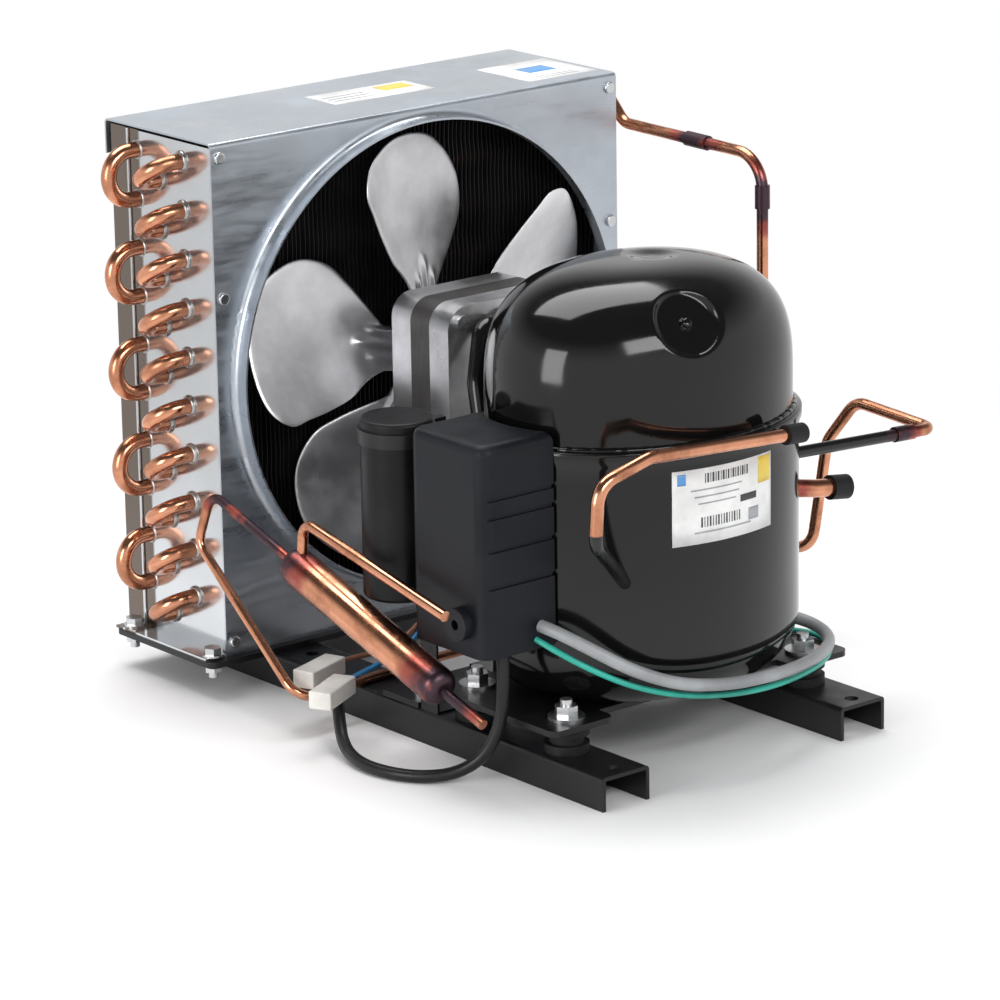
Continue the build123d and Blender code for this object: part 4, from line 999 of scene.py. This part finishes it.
plate_field = wall_patch(plate_angle, plate_height, plate_width, plate_tall, 0.2, slope)
stick("front_plate", [plate_field], paper)
stick("front_plate_yellow", [on_plate(25.0, 11.0, 9.0, 13.0)], yellow_paper)
rules = [on_plate(-13.0 + 1.5 * k, 13.5, (0.5, 0.9, 0.4, 1.1)[k % 4], 4.6) for k in range(18)]
rules += [on_plate(-15.0 + 1.6 * k, -8.0, (0.9, 0.4, 0.6)[k % 3], 5.0) for k in range(15)]
stick("front_plate_bars", rules, ink)
lines = [on_plate(-6.0, 8.0 - 3.4 * k, 30.0 - 4.0 * (k % 3), 0.7) for k in range(3)]
lines += [on_plate(-2.0, -13.0, 34.0, 0.7), on_plate(17.0, -9.0, 7.0, 6.0)]
stick("front_plate_rules", lines, grey_ink)
stick("front_plate_dark", [on_plate(13.5, -0.2, 11.0, 3.4)], ink)
stick("front_plate_blue", [on_plate(-26.0, 14.0, 4.5, 5.5)], blue_paper)


def flat_patch(x, y, width, tall, lift, turn=0.0):
    """Rectangle lying on the shroud's top."""
    u, v = np.meshgrid(np.linspace(-width / 2, width / 2, 12), np.linspace(tall / 2, -tall / 2, 4))
    c, s = math.cos(turn), math.sin(turn)
    return np.stack([x + u * c - v * s, y + u * s + v * c, 0 * u + shroud_high[2] + lift], -1)


stick("top_plate", [flat_patch(3.0, 134.5, 64.0, 27.0, 0.02, -0.02)], paper)
stick("top_plate_yellow", [flat_patch(21.0, 138.5, 19.0, 11.0, 0.08, -0.02)], yellow_paper)
top_rules = [flat_patch(-12.0, 138.0 - 5.0 * k, 26.0, 1.2, 0.08, -0.02) for k in range(3)]
stick("top_plate_rules", top_rules, grey_ink)
stick("end_plate_sticker", [flat_patch(103.0, 121.0, 46.0, 44.0, 0.02)], paper)
stick("end_plate_blue", [flat_patch(104.0, 123.0, 18.0, 13.0, 0.08)], blue_paper)
end_rules = [flat_patch(104.0, 107.0 - 3.5 * k, 26.0, 1.0, 0.08) for k in range(2)]
stick("end_plate_rules", end_rules, grey_ink)

# %% [markdown]
# ## Floor, backdrop and light
# A pale floor holds the shadow.  To the camera and to reflections the room is white;
# the light on the object comes from three soft area lamps and a dim room.

# %% Studio
def stage_sheet(name, points, finish):
    mesh = bpy.data.meshes.new(name)
    mesh.from_pydata([tuple(p) for p in points], [], [(0, 1, 2, 3)])
    sheet = bpy.data.objects.new(name, mesh)
    bpy.context.scene.collection.objects.link(sheet)
    mesh.materials.append(finish.material)
    return sheet


# The sheet is matt and pale near the object, where the shadow falls, and turns to the
# backdrop's white further out for rays that the eye sees, straight or by reflection.
floor_finish = Finish("floor", (0.88, 0.88, 0.88), 0.9)
sheet_nodes, sheet_links = floor_finish.tree.nodes, floor_finish.tree.links
glow = sheet_nodes.new("ShaderNodeEmission")
rays = sheet_nodes.new("ShaderNodeLightPath")
seen = floor_finish.math("MAXIMUM", rays.outputs["Is Camera Ray"], rays.outputs["Is Glossy Ray"])
seen = floor_finish.math("MAXIMUM", seen, rays.outputs["Is Transmission Ray"])
away = floor_finish.node("VectorMath", operation="LENGTH")
floor_finish.join(floor_finish.place, away.inputs[0])
far = floor_finish.span(away.outputs["Value"], 0.30, 0.62)
blend = sheet_nodes.new("ShaderNodeMixShader")
floor_finish.join(floor_finish.math("MULTIPLY", seen, far), blend.inputs[0])
sheet_links.new(floor_finish.shader.outputs[0], blend.inputs[1])
sheet_links.new(glow.outputs[0], blend.inputs[2])
sheet_links.new(blend.outputs[0], sheet_nodes["Material Output"].inputs["Surface"])
floor_finish.set("Base_Color", floor_finish.mix(floor_finish.noise(6.0), (0.87,) * 3, (0.90,) * 3))
reach = 6.0
corners = [(-reach, -reach, 0), (reach, -reach, 0), (reach, reach, 0), (-reach, reach, 0)]
stage_sheet("floor", corners, floor_finish)

# The room has white walls and a dim ceiling: its colour depends on the height looked at.
world = bpy.data.worlds.new("room")
bpy.context.scene.world = world
world.use_nodes = True
room = world.node_tree.nodes
wire = world.node_tree.links
sky = room["Background"]
white = room.new("ShaderNodeBackground")
direction = room.new("ShaderNodeTexCoord")
split = room.new("ShaderNodeSeparateXYZ")
ceiling = room.new("ShaderNodeMapRange")
for socket, number in zip(("From Min", "From Max", "To Min", "To Max"), (0.25, 0.62, 1.0, 0.12)):
    ceiling.inputs[socket].default_value = number
wire.new(direction.outputs["Generated"], split.inputs[0])
wire.new(split.outputs["Z"], ceiling.inputs["Value"])
wire.new(ceiling.outputs["Result"], white.inputs["Color"])
sky.inputs["Color"].default_value = (0.97, 0.98, 1.0, 1.0)
sky.inputs["Strength"].default_value = 0.42
path = room.new("ShaderNodeLightPath")
eye_ray = room.new("ShaderNodeMath")
eye_ray.operation = "MAXIMUM"
any_ray = room.new("ShaderNodeMath")
any_ray.operation = "MAXIMUM"
wire.new(path.outputs["Is Camera Ray"], eye_ray.inputs[0])
wire.new(path.outputs["Is Transmission Ray"], eye_ray.inputs[1])
wire.new(eye_ray.outputs[0], any_ray.inputs[0])
wire.new(path.outputs["Is Glossy Ray"], any_ray.inputs[1])
choose = room.new("ShaderNodeMixShader")
wire.new(any_ray.outputs[0], choose.inputs[0])
wire.new(sky.outputs[0], choose.inputs[1])
wire.new(white.outputs[0], choose.inputs[2])
wire.new(choose.outputs[0], room["World Output"].inputs[0])


def soft_lamp(name, place, target, size, watts, tall=None):
    lamp = bpy.data.lights.new(name, "AREA")
    lamp.shape = "RECTANGLE"
    lamp.size = size
    lamp.size_y = tall or size
    lamp.energy = watts
    light = bpy.data.objects.new(name, lamp)
    light.location = place
    light.rotation_euler = (Vector(target) - Vector(place)).to_track_quat("-Z", "Y").to_euler()
    bpy.context.scene.collection.objects.link(light)


middle = (0.0, 0.0, 0.12)
soft_lamp("top_box", (0.1, 0.5, 1.6), middle, 1.5, 26.0, 1.0)
soft_lamp("left_box", (-1.9, -0.2, 0.55), middle, 0.7, 14.0, 1.0)
soft_lamp("front_box", (-0.2, -1.9, 1.25), middle, 1.4, 21.0, 0.6)
